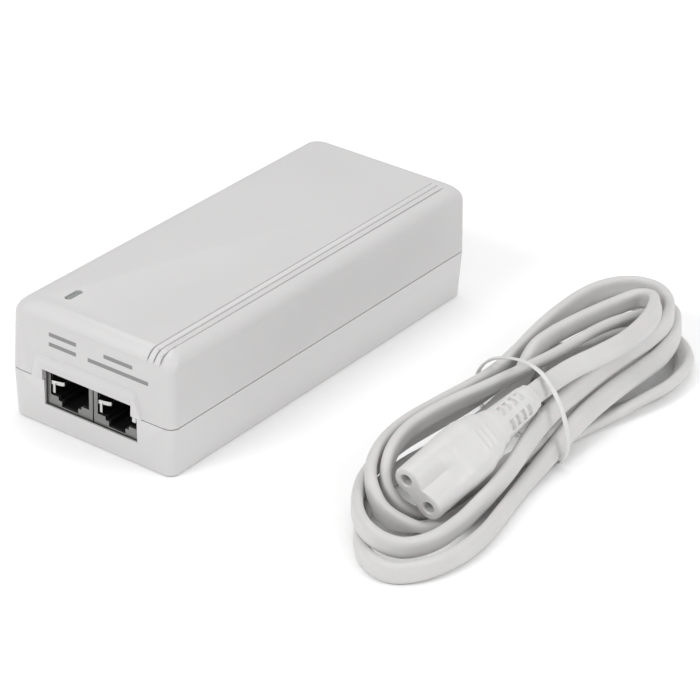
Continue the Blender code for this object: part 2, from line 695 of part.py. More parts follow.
def jack_shield(name, centre_x):
    """Build the folded metal shield around one socket, open at its back."""
    half = JACK_WIDTH / 2
    low = (centre_x - half, JACK_FRONT, SEAT_Z)
    high = (centre_x + half, JACK_BACK, SEAT_Z + JACK_HEIGHT)
    piece = add_piece(name, box(low, high), "shield_metal")
    inner_low = tuple(value + SHIELD_THICKNESS for value in low)
    inner_high = (high[0] - SHIELD_THICKNESS, high[1] + DEPTH_MARGIN, high[2] - SHIELD_THICKNESS)
    cut(piece, box(inner_low, inner_high), "inside")
    mouth = prism("Y", cavity_outline(centre_x, 0.0), JACK_FRONT - DEPTH_MARGIN, JACK_FRONT + DEPTH_MARGIN / 2)
    cut(piece, mouth, "mouth")


def jack_housing(name, centre_x):
    """Build the moulded insert with the socket's cavity and the contacts' slot."""
    skin_gap = SHIELD_THICKNESS + GAP
    half = JACK_WIDTH / 2 - skin_gap
    low = (centre_x - half, JACK_FRONT + skin_gap, SEAT_Z + skin_gap)
    high = (centre_x + half, JACK_BACK, SEAT_Z + JACK_HEIGHT - skin_gap)
    piece = add_piece(name, box(low, high), "black_plastic")
    back = JACK_FRONT + CAVITY_DEPTH
    cavity = prism("Y", cavity_outline(centre_x, -0.05 * MM), JACK_FRONT - DEPTH_MARGIN, back)
    cut(piece, cavity, "cavity")
    roof = SEAT_Z + CAVITY_FLOOR + CAVITY_HEIGHT
    slot_half = CONTACT_PITCH * CONTACT_COUNT / 2
    slot_low = (centre_x - slot_half, JACK_FRONT + CONTACT_ROOT_DEPTH - 0.9 * MM, roof - 0.5 * MM)
    slot_high = (centre_x + slot_half, JACK_FRONT + CONTACT_ROOT_DEPTH + 0.6 * MM, roof + CONTACT_ROOT_RISE + GAP)
    cut(piece, box(slot_low, slot_high), "slot")


def contact_pivot(centre_x):
    """Return the point that a socket's contacts bend about."""
    roof = SEAT_Z + CAVITY_FLOOR + CAVITY_HEIGHT
    return (centre_x, JACK_FRONT + CONTACT_ROOT_DEPTH, roof - CONTACT_PIVOT_DROP)


def contact_wire(name, x, pivot):
    """Build one bent contact: a root in the housing's slot and a sloping free arm."""
    half = CONTACT_THICKNESS / 2
    top = pivot[2] + CONTACT_PIVOT_DROP + CONTACT_ROOT_RISE
    length = math.hypot(CONTACT_REACH, CONTACT_FALL)
    normal = (half * CONTACT_FALL / length, half * CONTACT_REACH / length)
    tip = (pivot[1] + CONTACT_REACH, pivot[2] - CONTACT_FALL)
    outline = [
        (pivot[1] - half, top),
        (pivot[1] - half, pivot[2] - half),
        (tip[0] - normal[0], tip[1] - normal[1]),
        (tip[0] + normal[0], tip[1] + normal[1]),
        (pivot[1] + half, pivot[2] + half * 0.7),
        (pivot[1] + half, top),
    ]
    wire = prism("X", outline, x - CONTACT_WIDTH / 2, x + CONTACT_WIDTH / 2)
    add_piece(name, wire, "contact_gold", origin=pivot)


def network_socket(prefix, centre_x):
    """Build one socket: shield, housing and its eight contacts."""
    jack_shield(f"{prefix}_socket_shield", centre_x)
    jack_housing(f"{prefix}_socket_housing", centre_x)
    pivot = contact_pivot(centre_x)
    for index in range(CONTACT_COUNT):
        x = centre_x + (index - (CONTACT_COUNT - 1) / 2) * CONTACT_PITCH
        contact_wire(f"{prefix}_contact_{index + 1}", x, pivot)


# --- mains inlet ----------------------------------------------------------------------

def mains_inlet():
    """Build the inlet's housing and its two round pins."""
    outline = rounded_rectangle(INLET_WIDTH / 2, INLET_HEIGHT / 2, 1.7 * MM)
    centre = (0.0, INLET_CENTRE_Z)
    piece = add_piece("inlet_housing", prism("Y", outline, INLET_BACK, INLET_FACE, centre), "black_plastic")
    grown = NOSE_CLEARANCE
    mouth = lobed_outline(NOSE_HALF_WIDTH + grown, NOSE_HALF_HEIGHT + grown, NOSE_WAIST)
    floor = INLET_FACE - INLET_CAVITY_DEPTH
    cut(piece, prism("Y", mouth, floor, INLET_FACE + DEPTH_MARGIN, centre), "cavity")
    for index, side in enumerate((-1, 1)):
        x = side * PIN_SPACING / 2
        radius = PIN_RADIUS + GAP
        hole = turned("Y", ((radius, INLET_BACK - DEPTH_MARGIN), (radius, floor + DEPTH_MARGIN)), (x, centre[1]))
        cut(piece, hole, f"pin_{index + 1}")
        tip = INLET_FACE - INLET_PIN_RECESS
        profile = (
            (PIN_RADIUS, INLET_BACK - INLET_PIN_TAIL),
            (PIN_RADIUS, tip - PIN_RADIUS * 0.6),
            (PIN_RADIUS * 0.85, tip - PIN_RADIUS * 0.25),
            (PIN_RADIUS * 0.4, tip),
        )
        add_piece(f"inlet_pin_{index + 1}", turned("Y", profile, (x, centre[1]), 20), "steel")


# --- lamp -----------------------------------------------------------------------------

def light_pipe():
    """Build the clear pipe that carries the lamp's light over the socket to the roof."""
    centre_y = FRONT_Y + LAMP_FRONT_INSET
    top = CASE_HEIGHT - LAMP_RECESS
    arm_low = SEAT_Z + JACK_HEIGHT + 1.0 * MM
    arm_high = arm_low + LAMP_ARM_HEIGHT
    front = centre_y - LAMP_SLOT_LENGTH / 2
    leg_front = JACK_BACK + 0.7 * MM
    leg_back = leg_front + LAMP_LEG_LENGTH
    foot = SEAT_Z + LED_HEIGHT + GAP
    outline = [
        (front + 0.7 * MM, top),
        (front, top - 0.7 * MM),
        (front, arm_low),
        (leg_front, arm_low),
        (leg_front, foot),
        (leg_back, foot),
        (leg_back, arm_high),
        (centre_y + LAMP_SLOT_LENGTH / 2, arm_high),
        (centre_y + LAMP_SLOT_LENGTH / 2, top - 0.7 * MM),
        (centre_y + LAMP_SLOT_LENGTH / 2 - 0.7 * MM, top),
    ]
    half = LAMP_SLOT_WIDTH / 2
    add_piece("light_pipe", prism("X", outline, LAMP_X - half, LAMP_X + half), "light_pipe")
    led_centre = (leg_front + leg_back) / 2
    led = seated_box(LAMP_X, led_centre, (LAMP_SLOT_WIDTH, LAMP_LEG_LENGTH, LED_HEIGHT))
    add_piece("status_led", led, "led_body")


# --- electronics ----------------------------------------------------------------------

def capacitor_can(name, x, y, radius, height):
    """Build an upright can with a rounded shoulder and a crimp groove."""
    top = SEAT_Z + height
    profile = (
        (radius * 0.92, SEAT_Z),
        (radius, SEAT_Z + 0.5 * MM),
        (radius, SEAT_Z + 1.6 * MM),
        (radius * 0.93, SEAT_Z + 2.1 * MM),
        (radius, SEAT_Z + 2.6 * MM),
        (radius, top - 0.7 * MM),
        (radius * 0.9, top),
    )
    add_piece(name, turned("Z", profile, (x, y)), "capacitor_sleeve")


def output_stage():
    """Build the data transformers, output capacitors and control parts."""
    half_pitch = JACK_PITCH / 2
    for prefix, side in (("data_in", -1), ("power_out", 1)):
        block = rounded_block(side * (half_pitch + 0.4 * MM), MAGNETICS_Y, MAGNETICS_SIZE, 0.6 * MM)
        add_piece(f"{prefix}_magnetics", block, "black_plastic")
    inner = POST_RADIUS + OUTPUT_CAP_RADIUS + 1.5 * MM
    first_x = -(BOARD_HALF_WIDTH - POST_INSET_X) + inner
    for index in range(2):
        x = first_x + index * (2 * OUTPUT_CAP_RADIUS + 1.0 * MM)
        capacitor_can(f"output_capacitor_{index + 1}", x, OUTPUT_STAGE_Y, OUTPUT_CAP_RADIUS, OUTPUT_CAP_HEIGHT)
    chip = seated_box(first_x + 20.5 * MM, OUTPUT_STAGE_Y, CHIP_SIZE)
    add_piece("controller_chip", chip, "black_plastic")
    optocoupler_x = BOARD_HALF_WIDTH - OPTOCOUPLER_SIZE[0] / 2 - 1.0 * MM
    add_piece("optocoupler", seated_box(optocoupler_x, CORE_Y, OPTOCOUPLER_SIZE), "black_plastic")


def transformer():
    """Build the transformer: a two-window core and the winding round its middle leg."""
    half_x = CORE_SIZE[0] / 2
    half_y = CORE_SIZE[1] / 2
    x = -(BOARD_HALF_WIDTH - half_x - 1.5 * MM) * 0.3
    piece = add_piece("transformer_core", seated_box(x, CORE_Y, CORE_SIZE), "ferrite")
    low_z = SEAT_Z + CORE_YOKE
    high_z = SEAT_Z + CORE_SIZE[2] - CORE_YOKE
    for side in (-1, 1):
        near = x + side * CORE_LEG / 2
        far = x + side * (half_x - CORE_OUTER_LEG)
        low = (min(near, far), CORE_Y - half_y - DEPTH_MARGIN, low_z)
        high = (max(near, far), CORE_Y + half_y + DEPTH_MARGIN, high_z)
        cut(piece, box(low, high), f"window_{side + 2}")
    inner_x = CORE_LEG / 2 + GAP
    inner_y = half_y + GAP
    outer_x = half_x - CORE_OUTER_LEG - GAP
    outer_y = inner_y + WINDING_THICKNESS
    outer = rounded_rectangle(outer_x, outer_y, 2.5 * MM)
    inner = rounded_rectangle(inner_x, inner_y, 0.3 * MM)
    stations = ((outer, low_z + GAP), (outer, high_z - GAP), (inner, high_z - GAP), (inner, low_z + GAP))
    rings = [on_axis("Z", outline, station, (x, CORE_Y)) for outline, station in stations]
    add_piece("transformer_winding", skin(bmesh.new(), rings, closed=True), "winding_tape")


def power_stage():
    """Build the bulk capacitor, heat sink, switching transistor and rectifier."""
    height = ROOF_UNDERSIDE - ROOF_CLEARANCE - SEAT_Z
    bulk_x = -(BOARD_HALF_WIDTH - BULK_CAP_RADIUS - 1.0 * MM)
    capacitor_can("bulk_capacitor", bulk_x, POWER_STAGE_Y, BULK_CAP_RADIUS, height)
    right = BOARD_HALF_WIDTH - 1.0 * MM
    inner = right - HEAT_SINK_THICKNESS
    foot_top = SEAT_Z + HEAT_SINK_THICKNESS
    top = SEAT_Z + height
    section = [
        (inner - HEAT_SINK_FOOT, SEAT_Z),
        (right, SEAT_Z),
        (right, top),
        (inner, top),
        (inner, foot_top),
        (inner - HEAT_SINK_FOOT, foot_top),
    ]
    low = POWER_STAGE_Y - HEAT_SINK_LENGTH / 2
    add_piece("heat_sink", prism("Y", section, low, low + HEAT_SINK_LENGTH), "aluminium")
    transistor_x = inner - GAP - TRANSISTOR_SIZE[0] / 2
    block = seated_box(transistor_x, POWER_STAGE_Y, TRANSISTOR_SIZE, foot_top + GAP)
    add_piece("switching_transistor", block, "black_plastic")
    rectifier_x = bulk_x + BULK_CAP_RADIUS + 3.0 * MM + RECTIFIER_SIZE[0] / 2
    rectifier = rounded_block(rectifier_x, POWER_STAGE_Y, RECTIFIER_SIZE, 0.5 * MM)
    add_piece("bridge_rectifier", rectifier, "black_plastic")


def mains_filter():
    """Build the choke, the film capacitor and the fuse beside the inlet."""
    choke_x = -(BOARD_HALF_WIDTH - CHOKE_WIDTH / 2 - 5.0 * MM)
    centre = (FILTER_Y, SEAT_Z + CHOKE_RADIUS)
    low = choke_x - CHOKE_WIDTH / 2
    ring = turned_tube("X", CHOKE_RADIUS, CHOKE_HOLE_RADIUS, low, low + CHOKE_WIDTH, centre)
    add_piece("common_mode_choke", ring, "winding_tape")
    capacitor_x = choke_x + CHOKE_WIDTH / 2 + 3.0 * MM + X_CAP_SIZE[0] / 2
    block = rounded_block(capacitor_x, FILTER_Y, X_CAP_SIZE, 0.6 * MM)
    add_piece("mains_filter_capacitor", block, "film_capacitor")
    half = FUSE_LENGTH / 2
    profile = (
        (FUSE_RADIUS, -half),
        (FUSE_RADIUS, -half + 5.0 * MM),
        (FUSE_RADIUS * 0.9, -half + 5.0 * MM),
        (FUSE_RADIUS * 0.9, half - 5.0 * MM),
        (FUSE_RADIUS, half - 5.0 * MM),
        (FUSE_RADIUS, half),
    )
    add_piece("mains_fuse", turned("X", profile, (FUSE_Y, SEAT_Z + FUSE_RADIUS), 20), "fuse_glass")


# --- mains lead -----------------------------------------------------------------------

def bow(y):
    """Return how much of the hank's bow and pinch applies at a place along it."""
    share = max(-0.5, min(0.5, (y - HANK_BOW_CENTRE) / HANK_BOW_SPAN))
    return math.cos(math.pi * share) ** 2


def hank_outline(half_width, inset, arc_steps=12, side_steps=12):
    """Return the hank's long outline, bowed and pinched in its middle."""
    low = HANK_FRONT + inset + half_width
    high = HANK_BACK - inset - half_width
    points = []
    for end, centre_y, start in ((0, high, 0.0), (1, low, 180.0)):
        for step in range(arc_steps + 1):
            angle = math.radians(start + 180.0 * step / arc_steps)
            points.append((half_width * math.cos(angle), centre_y + half_width * math.sin(angle)))
        side = -1 if end == 0 else 1
        first, last = (high, low) if end == 0 else (low, high)
        for step in range(1, side_steps):
            points.append((side * half_width, first + (last - first) * step / side_steps))
    shaped = []
    for x, y in points:
        narrow = 1 - HANK_PINCH * bow(y) / HANK_HALF_WIDTH
        shaped.append((HANK_X - HANK_BOW * bow(y) + x * narrow, y))
    return shaped


def cord_hank():
    """Build the plain solid of the folded cord: a bowed loop with round ends."""
    outer = hank_outline(HANK_HALF_WIDTH, 0.0)
    inner = hank_outline(HANK_HALF_WIDTH - HANK_ARM, HANK_ARM)
    stations = ((outer, HANK_BOTTOM), (outer, HANK_TOP), (inner, HANK_TOP), (inner, HANK_BOTTOM))
    rings = [on_axis("Z", outline, station) for outline, station in stations]
    add_piece("mains_cord_hank", skin(bmesh.new(), rings, closed=True), "lead_plastic")


def smooth_route(points, spacing):
    """Return points at an even spacing on a smooth curve through a route's points."""
    knots = [Vector(point) * MM for point in points]
    ends = [2 * knots[0] - knots[1]] + knots + [2 * knots[-1] - knots[-2]]
    fine = []
    steps = 24
    for i in range(1, len(ends) - 2):
        before, here, there, after = ends[i - 1:i + 3]
        for step in range(steps):
            t = step / steps
            bend = (2 * before - 5 * here + 4 * there - after) * t * t
            twist = (3 * here - before - 3 * there + after) * t * t * t
            fine.append(0.5 * (2 * here + (there - before) * t + bend + twist))
    fine.append(knots[-1])
    lengths = [0.0]
    for first, second in zip(fine, fine[1:]):
        lengths.append(lengths[-1] + (second - first).length)
    count = max(2, round(lengths[-1] / spacing))
    picked = []
    for index in range(count + 1):
        target = lengths[-1] * index / count
        nearest = min(range(len(fine)), key=lambda i: abs(lengths[i] - target))
        picked.append(fine[nearest])
    return picked


def cord_tube():
    """Build the cord's free stretch as a round tube of the flat cord's mean size."""
    points = smooth_route(FREE_ROUTE, CORD_WIDTH * 0.8)
    curve = bpy.data.curves.new("mains_cord", "CURVE")
    curve.dimensions = "3D"
    curve.bevel_depth = (CORD_WIDTH + CORD_THICKNESS) / 4
    curve.bevel_resolution = 3
    curve.use_fill_caps = True
    spline = curve.splines.new("POLY")
    spline.points.add(len(points) - 1)
    for target, point in zip(spline.points, points):
        target.co = (*point, 1.0)
    curve.materials.append(finish("lead_plastic"))
    piece = bpy.data.objects.new("mains_cord", curve)
    bpy.context.scene.collection.objects.link(piece)


def smooth_loop(knots, steps=4):
    """Return points on a smooth closed curve through flat knots."""
    count = len(knots)
    points = []
    for i in range(count):
        before, here, there, after = (Vector(knots[(i + k) % count]) for k in (-1, 0, 1, 2))
        for step in range(steps):
            t = step / steps
            bend = (2 * before - 5 * here + 4 * there - after) * t * t
            twist = (3 * here - before - 3 * there + after) * t * t * t
            points.append(0.5 * (2 * here + (there - before) * t + bend + twist))
    return points


def tie_outline(inset):
    """Return the tie's closed outline across the bundle, set in from its outer line."""
    line = smooth_loop([(x * MM, z * MM) for x, z in TIE_LINE])
    count = len(line)
    points = []
    for i, point in enumerate(line):
        run = (line[(i + 1) % count] - line[i - 1]).normalized()
        points.append((point.x - run.y * inset, point.y + run.x * inset))
    return points


def twist_tie():
    """Build the thin band round the bundle."""
    outer = tie_outline(0.0)
    inner = tie_outline(TIE_THICKNESS)
    half = TIE_WIDTH / 2
    stations = ((outer, -half), (outer, half), (inner, half), (inner, -half))
    rings = [on_axis("Y", outline, station) for outline, station in stations]
    shape = skin(bmesh.new(), rings, closed=True)
    place = Matrix.Translation((*TIE_CENTRE, 0.0)) @ Matrix.Rotation(TIE_TURN, 4, "Z")
    bmesh.ops.transform(shape, matrix=place, verts=shape.verts)
    add_piece("twist_tie", shape, "tie_plastic")


def connector_frame():
    """Return the connector's place: +Y from face to tail, +X across its two holes."""
    face = Vector(CONNECTOR_FACE)
    along = (Vector(CONNECTOR_TAIL) - face).normalized()
    level = along.cross(Vector((0.0, 0.0, 1.0))).normalized()
    upright = level.cross(along)
    across = level * math.cos(CONNECTOR_ROLL) - upright * math.sin(CONNECTOR_ROLL)
    normal = level * math.sin(CONNECTOR_ROLL) + upright * math.cos(CONNECTOR_ROLL)
    turn = Matrix((across, along, normal)).transposed().to_4x4()
    return Matrix.Translation(face) @ turn


def connector_sections():
    """Return the connector's sections: station, half width, half height and waist."""
    length = (Vector(CONNECTOR_TAIL) - Vector(CONNECTOR_FACE)).length
    nose_x = NOSE_HALF_WIDTH
    nose_z = NOSE_HALF_HEIGHT
    waist = NOSE_WAIST
    return (
        (0.0, nose_x - 0.5 * MM, nose_z - 0.5 * MM, waist * 0.8),
        (0.5 * MM, nose_x, nose_z, waist),
        (9.5 * MM, nose_x + 0.1 * MM, nose_z + 0.1 * MM, waist),
        (12.5 * MM, nose_x + 0.4 * MM, nose_z + 0.5 * MM, waist * 0.4),
        (15.5 * MM, nose_x + 0.6 * MM, nose_z + 0.8 * MM, 0.0),
        (21.5 * MM, nose_x + 0.6 * MM, nose_z + 1.0 * MM, 0.0),
        (26.5 * MM, nose_x - 0.4 * MM, nose_z + 0.8 * MM, 0.0),
        (30.5 * MM, nose_x - 1.8 * MM, nose_z + 0.5 * MM, 0.0),
        (34.0 * MM, nose_x - 2.7 * MM, nose_z + 0.2 * MM, 0.0),
        (length - 3.0 * MM, nose_x - 3.4 * MM, nose_z - 0.5 * MM, 0.0),
        (length, CORD_WIDTH / 2 + 0.7 * MM, CORD_THICKNESS / 2 + 0.9 * MM, 0.0),
    )


def lead_connector():
    """Build the figure-eight connector with its two holes and their brass sleeves."""
    place = connector_frame()
    rings = []
    for station, half_width, half_height, waist in connector_sections():
        rings.append(on_axis("Y", lobed_outline(half_width, half_height, waist), station))
    body = skin(bmesh.new(), rings)
    bmesh.ops.transform(body, matrix=place, verts=body.verts)
    piece = add_piece("lead_connector", body, "lead_plastic")
    for index, side in enumerate((-1, 1)):
        centre = (side * PIN_SPACING / 2, 0.0)
        profile = (
            (CONNECTOR_MOUTH_RADIUS, -DEPTH_MARGIN),
            (CONNECTOR_MOUTH_RADIUS, CONNECTOR_MOUTH_DEPTH),
            (CONNECTOR_CHAMBER_RADIUS, CONNECTOR_MOUTH_DEPTH),
            (CONNECTOR_CHAMBER_RADIUS, CONNECTOR_CHAMBER_DEPTH),
        )
        hole = turned("Y", profile, centre)
        bmesh.ops.transform(hole, matrix=place, verts=hole.verts)
        cut(piece, hole, f"hole_{index + 1}")
        low = CONNECTOR_MOUTH_DEPTH + GAP
        high = CONNECTOR_CHAMBER_DEPTH - GAP
        sleeve = turned_tube("Y", SLEEVE_RADIUS, SLEEVE_BORE, low, high, centre, 16)
        bmesh.ops.transform(sleeve, matrix=place, verts=sleeve.verts)
        add_piece(f"connector_sleeve_{index + 1}", sleeve, "brass")


def mains_plug():
    """Build the two-blade plug that lies inside the hank."""
    front = PLUG_BODY_FRONT
    back = front + PLUG_BODY_LENGTH
    centre = (PLUG_X, PLUG_Z)
    sections = (
        (front, PLUG_HALF_WIDTH - 1.0 * MM, PLUG_HALF_HEIGHT - 1.0 * MM),
        (front + 1.0 * MM, PLUG_HALF_WIDTH, PLUG_HALF_HEIGHT),
        (front + 14.0 * MM, PLUG_HALF_WIDTH, PLUG_HALF_HEIGHT),
        (back - 4.0 * MM, PLUG_HALF_WIDTH - 3.0 * MM, PLUG_HALF_HEIGHT - 1.4 * MM),
        (back, 5.0 * MM, 4.6 * MM),
        (PLUG_TAIL_END, CORD_THICKNESS / 2 + 0.9 * MM, CORD_WIDTH / 2 + 0.7 * MM),
    )
    rings = []
    for station, half_x, half_z in sections:
        radius = min(half_x, half_z) * 0.7
        rings.append(on_axis("Y", rounded_rectangle(half_x, half_z, radius), station, centre))
    add_piece("mains_plug_body", skin(bmesh.new(), rings), "lead_plastic")
    for index, side in enumerate((-1, 1)):
        x = PLUG_X + side * BLADE_SPACING / 2
        outline = rounded_rectangle(BLADE_THICKNESS / 2, BLADE_WIDTH / 2, 0.3 * MM, 3)
        tip = rounded_rectangle(BLADE_THICKNESS / 2 - 0.3 * MM, BLADE_WIDTH / 2 - 1.2 * MM, 0.3 * MM, 3)
        end = front - GAP
        stations = ((tip, end - BLADE_LENGTH), (outline, end - BLADE_LENGTH + 1.5 * MM), (outline, end))
        blade_rings = [on_axis("Y", section, station, (x, PLUG_Z)) for section, station in stations]
        add_piece(f"mains_plug_blade_{index + 1}", skin(bmesh.new(), blade_rings), "brass")


def main():
    """Build every piece of the injector and its lead."""
    clear_scene()
    upper_cover()
    lower_case()
    rating_label()
    circuit_board()
    board_screws()
    network_socket("data_in", -JACK_PITCH / 2)
    network_socket("power_out", JACK_PITCH / 2)
    mains_inlet()
    light_pipe()
    output_stage()
    transformer()
    power_stage()
    mains_filter()
    cord_hank()
    cord_tube()
    twist_tie()
    lead_connector()
    mains_plug()


main()
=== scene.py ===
"""Looks of a power-over-Ethernet injector and its tied mains lead.

The injector is a slim two-part box of pale grey ABS. It carries two shielded
network sockets in front and a two-pin mains inlet behind. Beside it lies the
flat two-core lead that came with it, folded in a hank and held by a twist tie.

Metres, +Z up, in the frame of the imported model: the sockets face -Y, the mains
inlet faces +Y, and the lead lies on +X.
"""

import logging
import math
from collections.abc import Callable
from dataclasses import dataclass
from enum import Enum

import bmesh
import bpy
from mathutils import Matrix, Vector
from mathutils.bvhtree import BVHTree


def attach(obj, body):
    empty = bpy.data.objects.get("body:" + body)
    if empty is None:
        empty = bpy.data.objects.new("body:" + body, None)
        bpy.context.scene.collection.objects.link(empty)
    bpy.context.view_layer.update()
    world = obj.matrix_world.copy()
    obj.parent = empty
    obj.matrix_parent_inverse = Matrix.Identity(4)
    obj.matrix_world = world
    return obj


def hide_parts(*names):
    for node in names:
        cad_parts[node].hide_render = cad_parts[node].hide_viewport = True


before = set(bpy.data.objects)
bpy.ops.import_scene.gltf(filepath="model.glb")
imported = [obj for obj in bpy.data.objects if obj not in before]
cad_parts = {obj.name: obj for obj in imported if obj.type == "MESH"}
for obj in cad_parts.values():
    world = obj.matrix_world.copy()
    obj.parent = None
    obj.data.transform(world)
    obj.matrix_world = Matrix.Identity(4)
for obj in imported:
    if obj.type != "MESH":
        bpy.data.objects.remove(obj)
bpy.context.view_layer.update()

MM = 0.001
log = logging.getLogger("injector")

# Blender's own types under short names.
Tree = bpy.types.NodeTree
Socket = bpy.types.NodeSocket
Node = bpy.types.Node
Material = bpy.types.Material
Thing = bpy.types.Object
Shape = bmesh.types.BMesh
# A place; a row of four, such as a place with a turn; and the points of a section.
Point = tuple[float, float, float]
Row = tuple[float, float, float, float]
Pair = tuple[float, float]
Section = list[Pair]

# Edges sharper than this many degrees stay hard: on pieces, on copied CAD nodes and on
# swept strips. Those sharper than the last are rounded.
PIECE_SHARP = 35.0
NODE_SHARP = 18.0
SWEPT_SHARP = 60.0
ROUND_ABOVE = 32.0
# A CAD mesh's points nearer than this are one, and faces nearer to flat than this are one.
WELD = 0.002 * MM
FLAT_ANGLE = 0.1
# The wave texture has one band in this many units at scale 1.
WAVE_BAND = 0.314
# Each socket's middle is this far from the case's.
SOCKET_OFFSET = 7.9 * MM


class Body(Enum):
    """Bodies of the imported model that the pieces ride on."""

    CASE = "case"
    LEAD = "mains_lead"


# --- colour and nodes -------------------------------------------------------------------


def linear(colour: str) -> tuple[float, float, float, float]:
    """Turn an sRGB hex colour into linear red, green, blue and full alpha.

    Args:
        colour: six hex digits, such as "d8d6d1".

    Returns:
        The colour as Blender's sockets take it.
    """
    parts = []
    for start in (0, 2, 4):
        value = int(colour[start:start + 2], 16) / 255
        parts.append(value / 12.92 if value <= 0.04045 else ((value + 0.055) / 1.055) ** 2.4)
    return (parts[0], parts[1], parts[2], 1.0)


def add_node(tree: Tree, kind: str, settings: dict | None = None,
             **sockets: object) -> Node:
    """Add one node to a tree, with its settings and what its inputs hold or come from.

    Args:
        tree: the node tree to add to.
        kind: the node's type, such as "ShaderNodeBump".
        settings: the node's own properties by name.
        **sockets: inputs by name with "_" for a space, or "i3" for the fourth input;
            an output socket is linked and anything else is set as the value.

    Returns:
        The new node.
    """
    node = tree.nodes.new(kind)
    for name, value in (settings or {}).items():
        setattr(node, name, value)
    for name, value in sockets.items():
        key = int(name[1:]) if name[1:].isdigit() else name.replace("_", " ")
        target = node.inputs[key]
        if isinstance(value, Socket):
            tree.links.new(value, target)
        else:
            target.default_value = value
    return node


# --- finishes ---------------------------------------------------------------------------


@dataclass(frozen=True)
class Finish:
    """What every finish has: a name, a main colour, its darker companion, gloss and relief.

    strength and depth_mm say how strong and how deep the relief reads.
    """

    name: str
    colour: str
    shade: str
    roughness: float
    roughness_spread: float
    strength: float = 0.5
    depth_mm: float = 0.02

    def start(self) -> tuple[Tree, Node, Socket]:
        """Make the material's tree with its shader and a place in the object's own frame.

        Returns:
            The tree, its principled shader, and the place socket.
        """
        material = bpy.data.materials.new(self.name)
        material.use_nodes = True
        tree = material.node_tree
        tree.nodes.clear()
        shader = add_node(tree, "ShaderNodeBsdfPrincipled")
        add_node(tree, "ShaderNodeOutputMaterial", Surface=shader.outputs["BSDF"])
        place = add_node(tree, "ShaderNodeTexCoord").outputs["Object"]
        return tree, shader, place

    def tone(self, tree: Tree, share: Socket) -> Socket:
        """Mix the finish's two colours by a share and return the colour socket."""
        mix = add_node(tree, "ShaderNodeMix", {"data_type": "RGBA"}, i0=share,
                       i6=linear(self.colour), i7=linear(self.shade))
        return mix.outputs[2]

    def gloss(self, tree: Tree, share: Socket) -> Socket:
        """Spread the roughness about its middle by a share and return the socket."""
        low = max(0.02, self.roughness - self.roughness_spread)
        high = min(1.0, self.roughness + self.roughness_spread)
        spread = add_node(tree, "ShaderNodeMapRange", Value=share, To_Min=low, To_Max=high)
        return spread.outputs["Result"]

    def coat(self, tree: Tree, shader: Node, colour: Socket, height: Socket) -> Material:
        """Wire the colour, the gloss and the relief into the shader.

        Args:
            tree: the material's tree.
            shader: its principled shader.
            colour: the surface's colour.
            height: what the gloss and the relief follow.

        Returns:
            The finished material.
        """
        relief = add_node(tree, "ShaderNodeBump", Height=height, Strength=self.strength,
                          Distance=self.depth_mm * MM)
        tree.links.new(colour, shader.inputs["Base Color"])
        tree.links.new(self.gloss(tree, height), shader.inputs["Roughness"])
        tree.links.new(relief.outputs["Normal"], shader.inputs["Normal"])
        return bpy.data.materials[self.name]

    def build(self) -> Material:
        """Build the material. Each kind of finish has its own way."""
        raise NotImplementedError


@dataclass(frozen=True)
class Moulded(Finish):
    """A moulded plastic: a fine even grain from the tool, and faint flow in the colour.

    grain_mm is the size of the tool's texture, flow_mm that of the faint clouds that the
    melt leaves, and scatter_mm how far light goes in the plastic.
    """

    grain_mm: float = 0.35
    flow_mm: float = 18.0
    ior: float = 1.53
    subsurface: float = 0.0
    scatter_mm: float = 0.6
    # edge_highlight is how far the convex edges are lightened towards white: a painted highlight.
    edge_highlight: float = 0.0

    def build(self) -> Material:
        """Build the moulded plastic."""
        tree, shader, place = self.start()
        flow = add_node(tree, "ShaderNodeTexNoise", Vector=place, Scale=1 / (self.flow_mm * MM),
                        Detail=3.0, Roughness=0.5)
        grain = add_node(tree, "ShaderNodeTexNoise", Vector=place, Scale=1 / (self.grain_mm * MM),
                         Detail=2.0, Roughness=0.6)
        share = add_node(tree, "ShaderNodeMapRange", Value=flow.outputs["Fac"], From_Min=0.3, From_Max=0.7)
        colour = self.tone(tree, share.outputs["Result"])
        # Painted highlight: the convex edges are lightened towards white.
        if self.edge_highlight > 0:
            colour = self.painted_edge_highlight(tree, colour)
        shader.inputs["IOR"].default_value = self.ior
        if self.subsurface > 0:
            shader.inputs["Subsurface Weight"].default_value = self.subsurface
            shader.inputs["Subsurface Scale"].default_value = self.scatter_mm * MM
        return self.coat(tree, shader, colour, grain.outputs["Fac"])

    def painted_edge_highlight(self, tree: Tree, colour: Socket) -> Socket:
        """Lighten the convex edges a little towards white: a painted highlight along the edges.

        Args:
            tree: the material's tree.
            colour: the colour before the painted highlight.

        Returns:
            The colour with its edges lightened.
        """
        point = add_node(tree, "ShaderNodeNewGeometry").outputs["Pointiness"]
        edge = add_node(tree, "ShaderNodeMapRange", Value=point, From_Min=0.52, From_Max=0.6,
                        To_Min=0.0, To_Max=self.edge_highlight)
        mix = add_node(tree, "ShaderNodeMix", {"data_type": "RGBA"}, i0=edge.outputs["Result"],
                       i6=colour, i7=linear("ffffff"))
        return mix.outputs[2]


